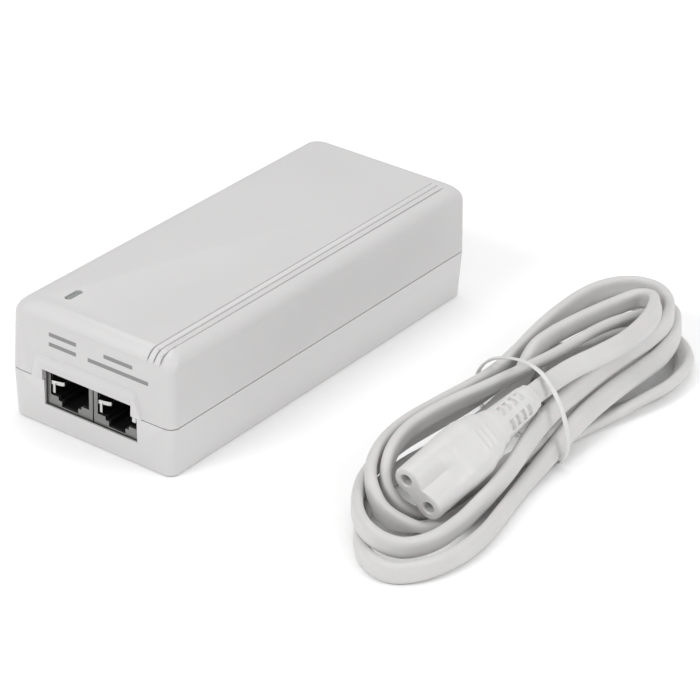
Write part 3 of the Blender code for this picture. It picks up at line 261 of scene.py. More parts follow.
@dataclass(frozen=True)
class Metal(Finish):
    """A metal: rolled or drawn, so its fine lines run one way.

    line_mm is the spacing of the lines, along the axis that they run along, stretch how
    much longer they are than wide, as a share, and cloud_mm the size of the tarnish.
    """

    strength: float = 0.4
    depth_mm: float = 0.006
    line_mm: float = 0.25
    along: int = 1
    stretch: float = 0.06
    cloud_mm: float = 4.0

    def build(self) -> Material:
        """Build the metal."""
        tree, shader, place = self.start()
        scale = [1.0, 1.0, 1.0]
        scale[self.along] = self.stretch
        lined = add_node(tree, "ShaderNodeMapping", Vector=place, Scale=tuple(scale))
        lines = add_node(tree, "ShaderNodeTexNoise", Vector=lined.outputs["Vector"],
                         Scale=1 / (self.line_mm * MM), Detail=3.0, Roughness=0.6)
        cloud = add_node(tree, "ShaderNodeTexNoise", Vector=place, Scale=1 / (self.cloud_mm * MM),
                         Detail=2.0)
        shader.inputs["Metallic"].default_value = 1.0
        return self.coat(tree, shader, self.tone(tree, cloud.outputs["Fac"]), lines.outputs["Fac"])


@dataclass(frozen=True)
class Board(Finish):
    """Glass-epoxy board under green solder resist, with copper tracks just showing.

    weave_mm is the spacing of the glass cloth, track_mm that of the tracks and gap_mm the
    space between two tracks.
    """

    strength: float = 0.3
    depth_mm: float = 0.008
    weave_mm: float = 0.5
    track_mm: float = 2.54
    gap_mm: float = 0.12

    def build(self) -> Material:
        """Build the board."""
        tree, shader, place = self.start()
        tracks = add_node(tree, "ShaderNodeTexBrick", Vector=place, Scale=1.0,
                          Mortar_Size=self.gap_mm * MM, Brick_Width=self.track_mm * 3 * MM,
                          Row_Height=self.track_mm * MM)
        weave = add_node(tree, "ShaderNodeTexChecker", Vector=place, Scale=1 / (self.weave_mm * MM))
        return self.coat(tree, shader, self.tone(tree, tracks.outputs["Fac"]), weave.outputs["Fac"])


@dataclass(frozen=True)
class Wound(Finish):
    """Something laid in turns, such as tape or wire: bands across one axis.

    turn_mm is the width of a turn and across the axis that the turns stack along.
    """

    strength: float = 0.6
    depth_mm: float = 0.12
    turn_mm: float = 1.5
    across: str = "Z"
    ior: float = 1.5

    def build(self) -> Material:
        """Build the wound finish."""
        tree, shader, place = self.start()
        turns = add_node(tree, "ShaderNodeTexWave", {"bands_direction": self.across}, Vector=place,
                         Scale=WAVE_BAND / (self.turn_mm * MM), Distortion=0.4, Detail=1.0)
        shader.inputs["IOR"].default_value = self.ior
        return self.coat(tree, shader, self.tone(tree, turns.outputs["Fac"]), turns.outputs["Fac"])


@dataclass(frozen=True)
class Paper(Finish):
    """Printed paper or ink: fibres that run every way, and no gloss."""

    strength: float = 0.25
    depth_mm: float = 0.01
    fibre_mm: float = 0.4

    def build(self) -> Material:
        """Build the paper."""
        tree, shader, place = self.start()
        fibres = add_node(tree, "ShaderNodeTexNoise", Vector=place, Scale=1 / (self.fibre_mm * MM),
                          Detail=4.0, Roughness=0.7, Distortion=1.5)
        return self.coat(tree, shader, self.tone(tree, fibres.outputs["Fac"]), fibres.outputs["Fac"])


# ABS from a spark-eroded tool: a matt, faintly warm pale grey. The tool's grain is about
# 0.1 mm, too fine to show, so it is drawn at 0.35 mm.
# Its convex edges are lightened towards white, a painted highlight.
CASE_ABS = Moulded("case_abs", "c8c7c7", "c5c4c4", 0.52, 0.05, depth_mm=0.012,
                   flow_mm=30.0, subsurface=0.04, edge_highlight=0.12)
# The same ABS in the lower half, from its own tool, with the same painted highlight on its edges.
BASE_ABS = Moulded("base_abs", "cbcaca", "c8c7c7", 0.54, 0.05, depth_mm=0.012,
                   flow_mm=26.0, subsurface=0.04, edge_highlight=0.12)
# Plasticised PVC, extruded: smoother and a little waxier than the case.
CORD_PVC = Moulded("cord_pvc", "cbcac9", "c5c4c3", 0.46, 0.06, grain_mm=0.8,
                   flow_mm=12.0, subsurface=0.08)
# The same PVC moulded over the connector and the plug: glossier where the tool was polished.
MOULDED_PVC = Moulded("moulded_pvc", "d0cfce", "cbcac9", 0.4, 0.05, grain_mm=0.6, depth_mm=0.012,
                      flow_mm=10.0, subsurface=0.08)
# PVC film over a soft wire: bright white with a slight sheen.
TIE_FILM = Moulded("tie_film", "d6d6d5", "cfcfce", 0.38, 0.08, grain_mm=1.0, depth_mm=0.03, flow_mm=5.0)
# Glass-filled PBT in the sockets and the inlet: black, with a dull skin.
BLACK_PBT = Moulded("black_pbt", "121213", "1a1a1b", 0.42, 0.08, grain_mm=0.3, flow_mm=6.0)
# Clear acrylic in the light pipe's slot, given an opaque grey: painted shade of the case's dark inside,
# seen through the clear pipe.
PIPE_SHADE_ACRYLIC = Moulded("light_pipe_painted_shade", "8e9290", "7d8280", 0.2, 0.04, grain_mm=0.5, depth_mm=0.004,
                        flow_mm=4.0, ior=1.49)
# Water-clear epoxy of the lamp's body.
LAMP_EPOXY = Moulded("lamp_epoxy", "c9d2b8", "bcc6aa", 0.15, 0.04, grain_mm=0.5, depth_mm=0.004,
                     flow_mm=2.0, ior=1.54)
# Tin-plated brass sheet, stamped: the sockets' shields.
TINNED_SHEET = Metal("tinned_sheet", "8f8f8e", "7c7c7b", 0.32, 0.08, line_mm=0.2)
# Bright-tinned spring bronze: the sockets' grounding springs.
SPRING_BRONZE = Metal("spring_bronze", "d4d4d2", "c2c2c0", 0.3, 0.06, line_mm=0.15)
# Hard gold over nickel on drawn phosphor bronze: the sockets' contacts.
CONTACT_GOLD = Metal("contact_gold", "d9b565", "c79f4c", 0.28, 0.05, line_mm=0.12)
# Bright zinc on steel: screws and inlet pins.
ZINC_STEEL = Metal("zinc_steel", "bfc1c2", "a5a8aa", 0.3, 0.08, line_mm=0.15, along=2)
# Nickel-plated brass: the connector's sleeves and the plug's blades.
PLATED_BRASS = Metal("plated_brass", "c4c2bb", "aeaca4", 0.25, 0.06, line_mm=0.15)
# Mill-finish aluminium sheet: the heat sink, with the lines of the rolling mill.
MILL_ALUMINIUM = Metal("mill_aluminium", "c6c8ca", "b0b3b6", 0.38, 0.08, line_mm=0.3, along=0)
# Sintered ferrite: dark, dense and slightly rough.
FERRITE = Moulded("sintered_ferrite", "38393b", "2b2c2e", 0.62, 0.08, grain_mm=0.4, depth_mm=0.03,
                  flow_mm=3.0)
# Polyester tape in turns round the transformer's winding.
WINDING_TAPE = Wound("winding_tape", "d8b23a", "c09a28", 0.35, 0.06, turn_mm=2.5)
# Shrunk PVC sleeve on the electrolytic capacitors.
CAP_SLEEVE = Moulded("capacitor_sleeve", "1e2434", "161b28", 0.35, 0.06, grain_mm=0.8, depth_mm=0.01,
                     flow_mm=6.0)
# Flame-retardant box of the film capacitor.
FILM_BOX = Moulded("film_capacitor_box", "c7a32e", "b59228", 0.45, 0.06, grain_mm=0.4,
                   flow_mm=5.0)
# Ceramic tube of the fuse.
FUSE_TUBE = Moulded("fuse_ceramic", "e3dfd4", "d6d1c4", 0.5, 0.06, grain_mm=0.4, flow_mm=4.0)
# Glass-epoxy laminate with green solder resist.
GREEN_BOARD = Board("green_board", "175c34", "0f4526", 0.4, 0.08)
# Blank self-adhesive paper on the base.
BLANK_LABEL = Paper("blank_label", "ecebe7", "e2e0db", 0.7, 0.05)
# Grey pad-printed ink.
GREY_INK = Paper("grey_ink", "8b8b8b", "7e7e7e", 0.6, 0.05, fibre_mm=0.5)
# Matt card under the object, for the floor.
FLOOR_CARD = Paper("floor_card", "ffffff", "fdfdfd", 0.9, 0.03, fibre_mm=3.0)

_made: dict[str, Material] = {}


def material(finish: Finish) -> Material:
    """Return a finish's material, built the first time that it is asked for."""
    if finish.name not in _made:
        _made[finish.name] = finish.build()
    return _made[finish.name]


# --- mesh helpers -----------------------------------------------------------------------


def place_mesh(name: str, shape: Shape, finish: Finish,
               smooth: float = PIECE_SHARP) -> Thing:
    """Turn a bmesh into a shown object with a finish.

    Args:
        name: the piece's name.
        shape: the bmesh, which is used up.
        finish: what the piece is made of.
        smooth: edges sharper than this many degrees stay hard.

    Returns:
        The new object.
    """
    mesh = bpy.data.meshes.new(name)
    bmesh.ops.recalc_face_normals(shape, faces=shape.faces)
    shape.to_mesh(mesh)
    shape.free()
    mesh.shade_smooth()
    mesh.set_sharp_from_angle(angle=math.radians(smooth))
    mesh.materials.append(material(finish))
    piece = bpy.data.objects.new(name, mesh)
    bpy.context.scene.collection.objects.link(piece)
    return piece


def carve(piece: Thing, away: Shape, smooth: float) -> Thing:
    """Cut a shape out of a piece for good.

    Args:
        piece: the piece.
        away: what is cut out, which is used up.
        smooth: edges sharper than this many degrees stay hard.

    Returns:
        The piece.
    """
    cutter = place_mesh("cutter", away, FLOOR_CARD)
    cut = piece.modifiers.new("cut", "BOOLEAN")
    cut.operation = "DIFFERENCE"
    cut.solver = "EXACT"
    cut.object = cutter
    solved = piece.evaluated_get(bpy.context.evaluated_depsgraph_get())
    carved = bpy.data.meshes.new_from_object(solved)
    piece.modifiers.clear()
    piece.data = carved
    piece.data.shade_smooth()
    piece.data.set_sharp_from_angle(angle=math.radians(smooth))
    finish = piece.data.materials[0]
    piece.data.materials.clear()
    piece.data.materials.append(finish)
    bpy.data.objects.remove(cutter)
    return piece


def soften(piece: Thing, width: float, segments: int = 2, weighted: bool = False) -> None:
    """Round a piece's edges with a bevel, as a tool or a press leaves them.

    Args:
        piece: the piece.
        width: the round's width.
        segments: how many faces the round has.
        weighted: whether the edges' own weights say how wide each round is.
    """
    rounding = piece.modifiers.new("edges", "BEVEL")
    rounding.width = width
    rounding.segments = segments
    rounding.limit_method = "WEIGHT" if weighted else "ANGLE"
    rounding.angle_limit = math.radians(ROUND_ABOVE)
    rounding.harden_normals = True
    rounding.use_clamp_overlap = not weighted


def copy_node(node: str, name: str, finish: Finish, edge: float = 0.0, segments: int = 2,
              weight: Callable[[Vector, float], float] | None = None) -> Thing:
    """Make a finer piece from a CAD node's own shape: welded, cleaned and softened.

    Args:
        node: the CAD node that the piece stands for.
        name: the piece's name.
        finish: what it is made of.
        edge: how wide its edges are rounded, or 0 for none.
        segments: how many faces the round has.
        weight: gives the share of the round that an edge gets, from its middle and length.

    Returns:
        The new piece, which replaces the node.
    """
    shape = bmesh.new()
    shape.from_mesh(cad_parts[node].data)
    bmesh.ops.remove_doubles(shape, verts=shape.verts, dist=WELD)
    bmesh.ops.dissolve_limit(shape, angle_limit=math.radians(FLAT_ANGLE), verts=shape.verts,
                             edges=shape.edges)
    if weight:
        layer = shape.edges.layers.float.new("bevel_weight_edge")
        for side in shape.edges:
            if side.is_manifold and side.calc_face_angle() > math.radians(ROUND_ABOVE):
                side[layer] = weight((side.verts[0].co + side.verts[1].co) / 2, side.calc_length())
    piece = place_mesh(name, shape, finish, smooth=NODE_SHARP)
    if edge > 0:
        soften(piece, edge, segments, weight is not None)
    flats = piece.modifiers.new("flat_faces", "WEIGHTED_NORMAL")
    flats.keep_sharp = True
    flats.weight = 100
    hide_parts(node)
    return piece


def skin(rings: list[list[Vector]], closed: bool = False) -> Shape:
    """Join rings of points, each the same length, into one skin with its ends filled.

    Args:
        rings: the rings in order.
        closed: whether the last ring meets the first, as in a band.

    Returns:
        The bmesh.
    """
    shape = bmesh.new()
    loops = [[shape.verts.new(point) for point in ring] for ring in rings]
    pairs = list(zip(loops, loops[1:])) + ([(loops[-1], loops[0])] if closed else [])
    for one, two in pairs:
        for k in range(len(one)):
            after = (k + 1) % len(one)
            shape.faces.new((one[k], one[after], two[after], two[k]))
    if not closed:
        shape.faces.new(list(reversed(loops[0])))
        shape.faces.new(loops[-1])
    return shape


def catmull(knots: list[Vector], steps: int, closed: bool = False) -> list[Vector]:
    """Return points on a smooth curve through knots.

    Args:
        knots: the points that the curve passes through, of any dimension.
        steps: how many points each stretch between knots gets.
        closed: whether the curve comes round to its start.

    Returns:
        The points, with the last knot where the curve is open.
    """
    if closed:
        ends = [knots[-1], *knots, knots[0], knots[1]]
    else:
        ends = [2 * knots[0] - knots[1], *knots, 2 * knots[-1] - knots[-2]]
    points = []
    for i in range(1, len(ends) - 2):
        before, here, there, after = ends[i - 1:i + 3]
        for step in range(steps):
            t = step / steps
            bend = (2 * before - 5 * here + 4 * there - after) * t * t
            twist = (3 * here - before - 3 * there + after) * t * t * t
            points.append(0.5 * (2 * here + (there - before) * t + bend + twist))
    return points if closed else points + [knots[-1]]


def dress(finish: Finish, *nodes: str) -> list[Thing]:
    """Give CAD nodes whose shape is right their finish.

    Args:
        finish: what they are made of.
        *nodes: the nodes' names.

    Returns:
        The nodes' objects.
    """
    things = [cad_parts[node] for node in nodes]
    for node, thing in zip(nodes, things):
        if not thing.material_slots:
            thing.data.materials.append(None)
        for slot in thing.material_slots:
            slot.material = material(finish)
        log.info("dressed %s in %s", node, finish.name)
    return things


def ride(piece: Thing, body: Body) -> Thing:
    """Put a piece on its body and report it."""
    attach(piece, body.value)
    log.info("made %s on %s", piece.name, body.value)
    return piece


# --- stage ------------------------------------------------------------------------------


@dataclass
class Stage:
    """Floor, lights and camera. Each lamp has a name, a place, a size and its watts."""

    azimuth: float = 35.267
    elevation: float = 29.116
    roll: float = 1.982
    distance: float = 765.23 * MM
    target: Point = (39.42 * MM, -7.20 * MM, 17.36 * MM)
    lens: float = 150.71
    sensor: float = 36.0
    floor_half: float = 3.0
    lamps: tuple[tuple[str, Point, Pair, float], ...] = (
        ("front_lamp", (-0.35, -1.2, 1.0), (0.6, 0.5), 8.5),
        ("top_lamp", (-0.2, 0.3, 1.5), (1.0, 0.9), 5.0),
        ("side_lamp", (1.3, 0.2, 0.8), (0.7, 0.7), 6.0),
    )
    lamps_aim: Point = (0.03, 0.0, 0.01)
    room_light: float = 0.66

    def build(self) -> None:
        """Build the stage."""
        bpy.context.scene.view_settings.view_transform = "Standard"
        self.camera()
        self.floor()
        self.lights()

    def camera(self) -> None:
        """Set the scene's camera, a long lens a little above and to the right."""
        turn, rise, roll = map(math.radians, (self.azimuth, self.elevation, self.roll))
        reach = math.cos(rise)
        back = Vector((math.sin(turn) * reach, -math.cos(turn) * reach, math.sin(rise)))
        level = Vector((math.cos(turn), math.sin(turn), 0.0))
        upright = back.cross(level)
        right = level * math.cos(roll) + upright * math.sin(roll)
        top = upright * math.cos(roll) - level * math.sin(roll)
        data = bpy.data.cameras.new("camera")
        data.lens = self.lens
        data.sensor_width = self.sensor
        camera = bpy.data.objects.new("camera", data)
        facing = Matrix((right, top, back)).transposed().to_4x4()
        camera.matrix_world = Matrix.Translation(Vector(self.target) + back * self.distance) @ facing
        bpy.context.scene.collection.objects.link(camera)
        bpy.context.scene.camera = camera

    def floor(self) -> None:
        """Lay the pale floor."""
        half = self.floor_half
        shape = bmesh.new()
        corners = ((-half, -half), (half, -half), (half, half), (-half, half))
        shape.faces.new([shape.verts.new((x, y, 0.0)) for x, y in corners])
        floor = place_mesh("floor", shape, FLOOR_CARD)

    def lamp(self, name: str, place: Point, size: Pair, power: float) -> None:
        """Hang one soft rectangular lamp.

        Args:
            name: the lamp's name.
            place: where it hangs.
            size: its width and height.
            power: in watts.
        """
        data = bpy.data.lights.new(name, "AREA")
        data.shape = "RECTANGLE"
        data.size, data.size_y = size
        data.energy = power
        lamp = bpy.data.objects.new(name, data)
        lamp.location = place
        ray = Vector(self.lamps_aim) - Vector(place)
        lamp.rotation_euler = ray.to_track_quat("-Z", "Y").to_euler()
        bpy.context.scene.collection.objects.link(lamp)

    def lights(self) -> None:
        """Hang the soft lamps and light the room evenly."""
        for lamp in self.lamps:
            self.lamp(*lamp)
        world = bpy.data.worlds.new("room")
        bpy.context.scene.world = world
        world.use_nodes = True
        world.node_tree.nodes.clear()
        sky = add_node(world.node_tree, "ShaderNodeBackground", Color=linear("ffffff"),
                       Strength=self.room_light)
        add_node(world.node_tree, "ShaderNodeOutputWorld", Surface=sky.outputs["Background"])


# --- mains lead -------------------------------------------------------------------------

# The cord's route in mm, each point with the turn of its width in degrees: 0 stands the
# flat cord on edge, and 90 lays it flat. First its free stretch, from the connector's
# tail over the hank, round its far end and back over the plug.
FREE_RUN: tuple[Row, ...] = (
    (90.72, 0.65, 18.66, -49), (90.7, 8.0, 18.8, -49), (91.2, 19.0, 18.8, -48), (92.9, 30.0, 18.6, -46),
    (94.0, 41.0, 18.4, -44), (93.2, 52.0, 18.2, -38), (90.6, 61.5, 17.8, -25), (86.4, 68.2, 16.8, -12),
    (81.4, 68.0, 15.8, 0), (78.2, 60.0, 15.2, 0), (77.0, 55.0, 15.1, 0), (75.9, 50.0, 15.0, 0),
    (75.1, 45.0, 15.0, 0), (74.5, 40.0, 15.0, 0), (74.2, 36.5, 15.0, 0),
)
# Down into the bundle on its case side, and the lowest fold at the near end.
FIRST_TURN: tuple[Row, ...] = (
    (74.6, 27.5, 14.9, 10), (76.0, 20.0, 11.4, 38), (77.0, 12.5, 9.0, 12), (77.1, 6.6, 8.3, 0),
    (76.9, -0.5, 6.9, 0), (75.8, -8.0, 5.4, 0), (73.6, -17.0, 3.9, 0), (71.6, -27.0, 3.2, 0),
    (72.2, -39.0, 3.0, 0), (75.4, -49.0, 2.9, 0), (79.7, -57.5, 2.9, 0), (85.4, -64.2, 2.9, 0),
    (91.6, -67.8, 2.9, 0), (97.4, -67.4, 2.9, 0),
    (102.4, -61.8, 3.2, 0), (105.0, -52.0, 3.2, 0), (105.0, -41.0, 3.2, 0), (103.0, -30.0, 3.2, 0),
    (100.6, -19.0, 3.2, 0), (99.0, -9.0, 3.6, -5), (97.9, 1.0, 4.8, -15), (97.0, 11.0, 6.6, -28),
)
# Round the far end below the top loop, and the second fold at the near end.
SECOND_TURN: tuple[Row, ...] = (
    (96.4, 22.0, 7.6, -36), (96.2, 34.0, 8.0, -38), (96.4, 46.0, 8.0, -36), (96.2, 57.0, 8.0, -28),
    (93.3, 69.0, 8.0, -12), (87.5, 79.0, 7.6, 0), (80.6, 82.2, 7.4, 0), (73.6, 80.4, 7.2, 0),
    (68.4, 74.5, 7.2, 0), (66.2, 65.0, 7.2, 0), (66.2, 53.0, 7.0, 0), (67.0, 41.0, 6.6, 0),
    (67.8, 29.0, 6.2, 0), (68.0, 17.0, 5.8, 0), (67.8, 5.0, 5.8, 0), (67.2, -8.0, 6.2, 0),
    (66.8, -21.0, 6.6, 0), (68.0, -33.0, 6.9, 0), (71.2, -44.5, 7.6, 0), (75.7, -53.2, 8.2, 0),
    (80.4, -59.3, 8.6, 0), (85.8, -63.4, 8.5, 0), (91.4, -64.4, 7.7, 0), (96.2, -61.8, 6.7, 0),
    (99.4, -54.6, 6.3, 0), (100.0, -44.6, 6.3, 0), (99.4, -35.5, 6.8, 0), (98.8, -27.0, 7.8, 0),
    (98.0, -18.5, 9.5, -5), (96.4, -10.0, 11.1, -12), (94.7, -1.0, 12.1, -18), (93.3, 9.0, 12.5, -22),
)
# Round the far end in the large top loop, and the third fold at the near end.
THIRD_TURN: tuple[Row, ...] = (
    (92.6, 20.0, 12.5, -24), (92.2, 32.0, 12.6, -24), (92.5, 44.0, 12.8, -22), (93.0, 56.0, 12.9, -16),
    (91.6, 67.2, 12.9, -8), (87.0, 75.6, 12.9, 0), (80.6, 80.0, 12.8, 5), (74.2, 79.2, 12.7, 8),
    (69.4, 74.0, 12.7, 10), (66.9, 65.0, 12.7, 10), (66.9, 52.0, 12.8, 10), (68.0, 39.0, 12.6, 10),
    (69.5, 27.0, 12.0, 8), (70.0, 15.0, 11.2, 0), (69.3, 3.0, 11.2, 0), (68.4, -9.0, 11.6, 0),
    (67.9, -21.0, 12.0, 0), (69.2, -32.5, 12.4, 0), (72.6, -42.6, 12.6, 0), (76.4, -48.8, 12.1, 0),
    (80.0, -52.0, 10.1, 0), (83.4, -52.9, 7.3, 5), (87.3, -51.0, 4.8, 25), (91.0, -47.0, 3.1, 65),
    (93.9, -41.5, 2.7, 72), (94.9, -34.0, 3.0, 60), (94.6, -25.0, 3.1, 48), (94.0, -15.0, 3.6, 45),
    (93.4, -5.0, 5.6, 65), (92.8, 4.0, 6.6, 85), (92.5, 14.0, 6.2, 60),
)
# Round the far end under the free stretch, and the short fold under the connector's nose.
FOURTH_TURN: tuple[Row, ...] = (
    (92.5, 25.0, 5.6, 15), (92.4, 36.0, 5.6, 0), (92.4, 47.0, 5.4, 0), (91.9, 57.0, 5.8, 0),
    (90.5, 64.0, 7.2, 0), (88.2, 67.6, 9.4, -10), (86.2, 66.2, 12.0, -25), (84.9, 60.0, 14.2, -38),
    (83.1, 52.6, 15.2, -45), (81.5, 44.6, 15.2, -45), (80.7, 35.1, 15.2, -45), (80.0, 26.5, 15.2, -42),
    (78.8, 17.6, 15.2, -36), (77.3, 9.5, 15.0, -28), (75.4, 0.6, 14.6, -20), (73.5, -8.0, 14.4, -15),
    (72.3, -18.0, 14.4, -10), (72.3, -28.0, 14.3, -6), (74.4, -37.2, 13.7, 0), (77.4, -43.8, 11.9, 0),
    (80.6, -47.3, 9.0, 0), (83.9, -46.8, 5.6, 20), (86.6, -42.5, 3.0, 60), (88.2, -36.0, 2.0, 85),
    (88.7, -25.0, 1.8, 90), (89.0, -14.0, 1.8, 90), (90.3, -3.0, 1.8, 90), (92.3, 6.0, 1.8, 90),
    (93.9, 15.0, 1.8, 90),
)
# The outer loop at the far end, flat on the table, which turns in to the plug's tail.
LAST_RUN: tuple[Row, ...] = (
    (95.6, 24.5, 1.9, 86), (98.0, 33.5, 2.3, 68), (100.6, 42.5, 2.9, 46), (102.1, 51.0, 3.1, 36),
    (101.2, 59.4, 3.0, 38), (98.0, 67.2, 2.5, 58), (93.0, 73.6, 1.9, 82), (87.6, 76.8, 2.1, 78),
    (83.5, 76.2, 3.6, 40), (81.6, 72.2, 5.6, 8), (81.3, 67.6, 6.0, 0),
)
ROUTE = FREE_RUN + FIRST_TURN + SECOND_TURN + THIRD_TURN + FOURTH_TURN + LAST_RUN


@dataclass
class Cord:
    """The flat two-core cord: two round cores side by side under one jacket."""

    width: float = 5.6 * MM
    thickness: float = 3.3 * MM
    waist: float = 0.22 * MM
    steps: int = 7
    around: int = 28

    def section(self) -> Section:
        """Return the cord's section: two round lobes and a shallow valley between them.

        Returns:
            Points as distances along the width and along the thickness.
        """
        points = []
        lobe = self.thickness / 2
        reach = self.width / 2 - lobe
        for k in range(self.around):
            angle = 2 * math.pi * k / self.around
            along, across = math.cos(angle), math.sin(angle)
            place = reach * max(-1.0, min(1.0, along * 1.5)) + lobe * along * abs(along) ** 0.2
            place = max(-self.width / 2, min(self.width / 2, place))
            valley = self.waist * math.exp(-((place / (0.25 * self.width)) ** 2) * 2.2)
            points.append((place, (lobe - valley) * math.copysign(abs(across) ** 0.8, across)))
        return points

    def route(self) -> list[tuple[Vector, float]]:
        """Return the cord's whole route as close points, each with the turn of its width."""
        fine = catmull([Vector(knot) for knot in ROUTE], self.steps)
        return [(Vector(point[:3]) * MM, math.radians(point[3])) for point in fine]

    def build(self) -> tuple[Thing, list[Vector], float]:
        """Sweep the section along the route.

        Returns:
            The piece, its centre line and its length.
        """
        route = self.route()
        centres = [point for point, _ in route]
        rings = []
        for i, (point, roll) in enumerate(route):
            along = (centres[min(i + 1, len(centres) - 1)] - centres[max(i - 1, 0)]).normalized()
            side = along.cross(Vector((0.0, 0.0, 1.0))).normalized()
            upright = side.cross(along)
            wide = upright * math.cos(roll) + side * math.sin(roll)
            thin = along.cross(wide)
            rings.append([point + wide * u + thin * v for u, v in self.section()])
        piece = place_mesh("flat_cord", skin(rings), CORD_PVC, smooth=SWEPT_SHARP)
        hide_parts("mains_cord", "mains_cord_hank")
        ride(piece, Body.LEAD)
        length = sum((two - one).length for one, two in zip(centres, centres[1:]))
        return piece, centres, length


@dataclass
class Connector:
    """The figure-eight connector at the near end of the cord, moulded over it.

    The sections are the station from the face, the half width, the half height and the
    depth of the valley between the two lobes, all in mm. The shape eases from section to
    section from grip_start on, where they are less than grip_longest apart.
    """

    face: Point = (89.3 * MM, -47.3 * MM, 12.0 * MM)
    tail: Point = (90.7 * MM, 0.2 * MM, 18.6 * MM)
    roll: float = 41.0
    spacing: float = 8.6 * MM
    around: int = 80
    step: float = 0.3 * MM
    sections: tuple[Row, ...] = (
        (0.0, 7.3, 3.2, 1.1), (0.15, 7.6, 3.5, 1.25), (0.5, 7.8, 3.7, 1.4), (5.0, 7.85, 3.85, 1.35),
        (9.6, 7.9, 4.0, 1.2), (12.4, 8.0, 4.45, 0.1), (15.5, 8.15, 4.8, 0.0), (21.5, 8.1, 5.0, 0.0),
        (26.5, 7.1, 4.8, 0.0), (30.5, 5.7, 4.5, 0.0), (34.0, 4.8, 4.2, 0.0), (45.0, 4.1, 3.5, 0.0),
        (47.97, 3.6, 2.55, 0.0),
    )
    hole: tuple[Pair, ...] = (
        (1.9, -0.4), (1.9, -0.05), (1.5, 0.35), (1.5, 3.0), (2.1, 3.0), (2.1, 12.0),
    )
    hole_around: int = 40
    slot_stations: tuple[float, ...] = (34.8, 37.4, 40.0, 42.6)
    slot_reach: tuple[float, float] = (1.0, 3.3)
    slot_half: float = 0.7
    slot_depth: float = 1.0
    rib_stations: tuple[float, ...] = (22.4, 24.4, 26.4)
    rib_reach: float = 2.6
    rib_half: float = 0.4
    rib_height: float = 0.28
    fade: float = 0.25
    side_fade: float = 0.3
    grip_start: float = 10.0
    grip_longest: float = 6.0

    def frame(self) -> Matrix:
        """Return its place: +X across the two holes, +Y from face to tail, +Z its flat top."""
        start = Vector(self.face)
        along = (Vector(self.tail) - start).normalized()
        level = along.cross(Vector((0.0, 0.0, 1.0))).normalized()
        upright = level.cross(along)
        turn = math.radians(self.roll)
        across = level * math.cos(turn) - upright * math.sin(turn)
        normal = level * math.sin(turn) + upright * math.cos(turn)
        return Matrix.Translation(start) @ Matrix((across, along, normal)).transposed().to_4x4()

    def outline(self, half_width: float, half_height: float, valley: float) -> Section:
        """Return one section: a long oval with a valley between its lobes, above and below."""
        points = []
        reach = half_width - half_height
        for k in range(self.around):
            angle = 2 * math.pi * k / self.around
            along, across = math.cos(angle), math.sin(angle)
            x = reach * max(-1.0, min(1.0, along * 1.35)) + half_height * along * abs(along) ** 0.25
            x = max(-half_width, min(half_width, x))
            over = max(0.0, abs(x) - reach) / half_height
            z = half_height * math.sqrt(max(0.0, 1 - over * over))
            dip = valley * max(0.0, 1 - abs(x) / max(reach, 0.1)) ** 1.6
            points.append((x, math.copysign(max(0.3, z - dip) if over < 1 else 0.0, across)))
        return points

    def relief(self, station: float, x: float) -> float:
        """Return how far the top stands proud here: the grip's ribs and the tail's slots."""

        def within(value: float, half: float, fade: float) -> float:
            """Return 1 inside a band, fading to 0 past its edge."""
            share = max(0.0, min(1.0, (half + fade - value) / (2 * fade)))
            return share * share * (3 - 2 * share)

        near, far = self.slot_reach
        rib = max(within(abs(station - at), self.rib_half, self.fade) for at in self.rib_stations)
        slot = max(within(abs(station - at), self.slot_half, self.fade) for at in self.slot_stations)
        rib *= within(abs(x), self.rib_reach, self.side_fade)
        slot *= within(abs(abs(x) - (near + far) / 2), (far - near) / 2, self.fade)
        return rib * self.rib_height - slot * self.slot_depth

    def body(self) -> Shape:
        """Return the connector's body in its own place, without its holes."""
        fine = []
        keys = [Vector(section) for section in self.sections]
        for one, two in zip(keys, keys[1:]):
            run = two[0] - one[0]
            count = max(1, round(run * MM / self.step))
            eased = one[0] >= self.grip_start and run < self.grip_longest
            for k in range(count):
                share = k / count
                section = one.lerp(two, share * share * (3 - 2 * share) if eased else share)
                section[0] = one[0] + run * share
                fine.append(section)
        fine.append(keys[-1])
        rings = []
        for station, half_width, half_height, valley in fine:
            ring = []
            for x, z in self.outline(half_width, half_height, valley):
                proud = self.relief(station, x) if z > 0.5 * half_height else 0.0
                ring.append(Vector((x, station, z + proud)) * MM)
            rings.append(ring)
        return skin(rings)

    def holes(self) -> Shape:
        """Return the two stepped holes as solids, to cut out of the body."""
        shape = bmesh.new()
        for side in (-1, 1):
            rings = []
            for radius, depth in self.hole:
                ring = []
                for k in range(self.hole_around):
                    angle = 2 * math.pi * k / self.hole_around
                    x = side * self.spacing / 2 + radius * MM * math.cos(angle)
                    ring.append(Vector((x, depth * MM, radius * MM * math.sin(angle))))
                rings.append(ring)
            one = bpy.data.meshes.new("hole")
            part = skin(rings)
            bmesh.ops.recalc_face_normals(part, faces=part.faces)
            part.to_mesh(one)
            part.free()
            shape.from_mesh(one)
            bpy.data.meshes.remove(one)
        return shape

    def build(self) -> list[Thing]:
        """Build the connector and dress its sleeves.

        Returns:
            The connector's shown pieces.
        """
        place = self.frame()
        body, holes = self.body(), self.holes()
        for shape in (body, holes):
            bmesh.ops.transform(shape, matrix=place, verts=shape.verts)
        piece = carve(place_mesh("connector_body", body, MOULDED_PVC), holes, PIECE_SHARP)
        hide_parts("lead_connector")
        ride(piece, Body.LEAD)
        return [piece, *dress(PLATED_BRASS, "connector_sleeve_1", "connector_sleeve_2")]


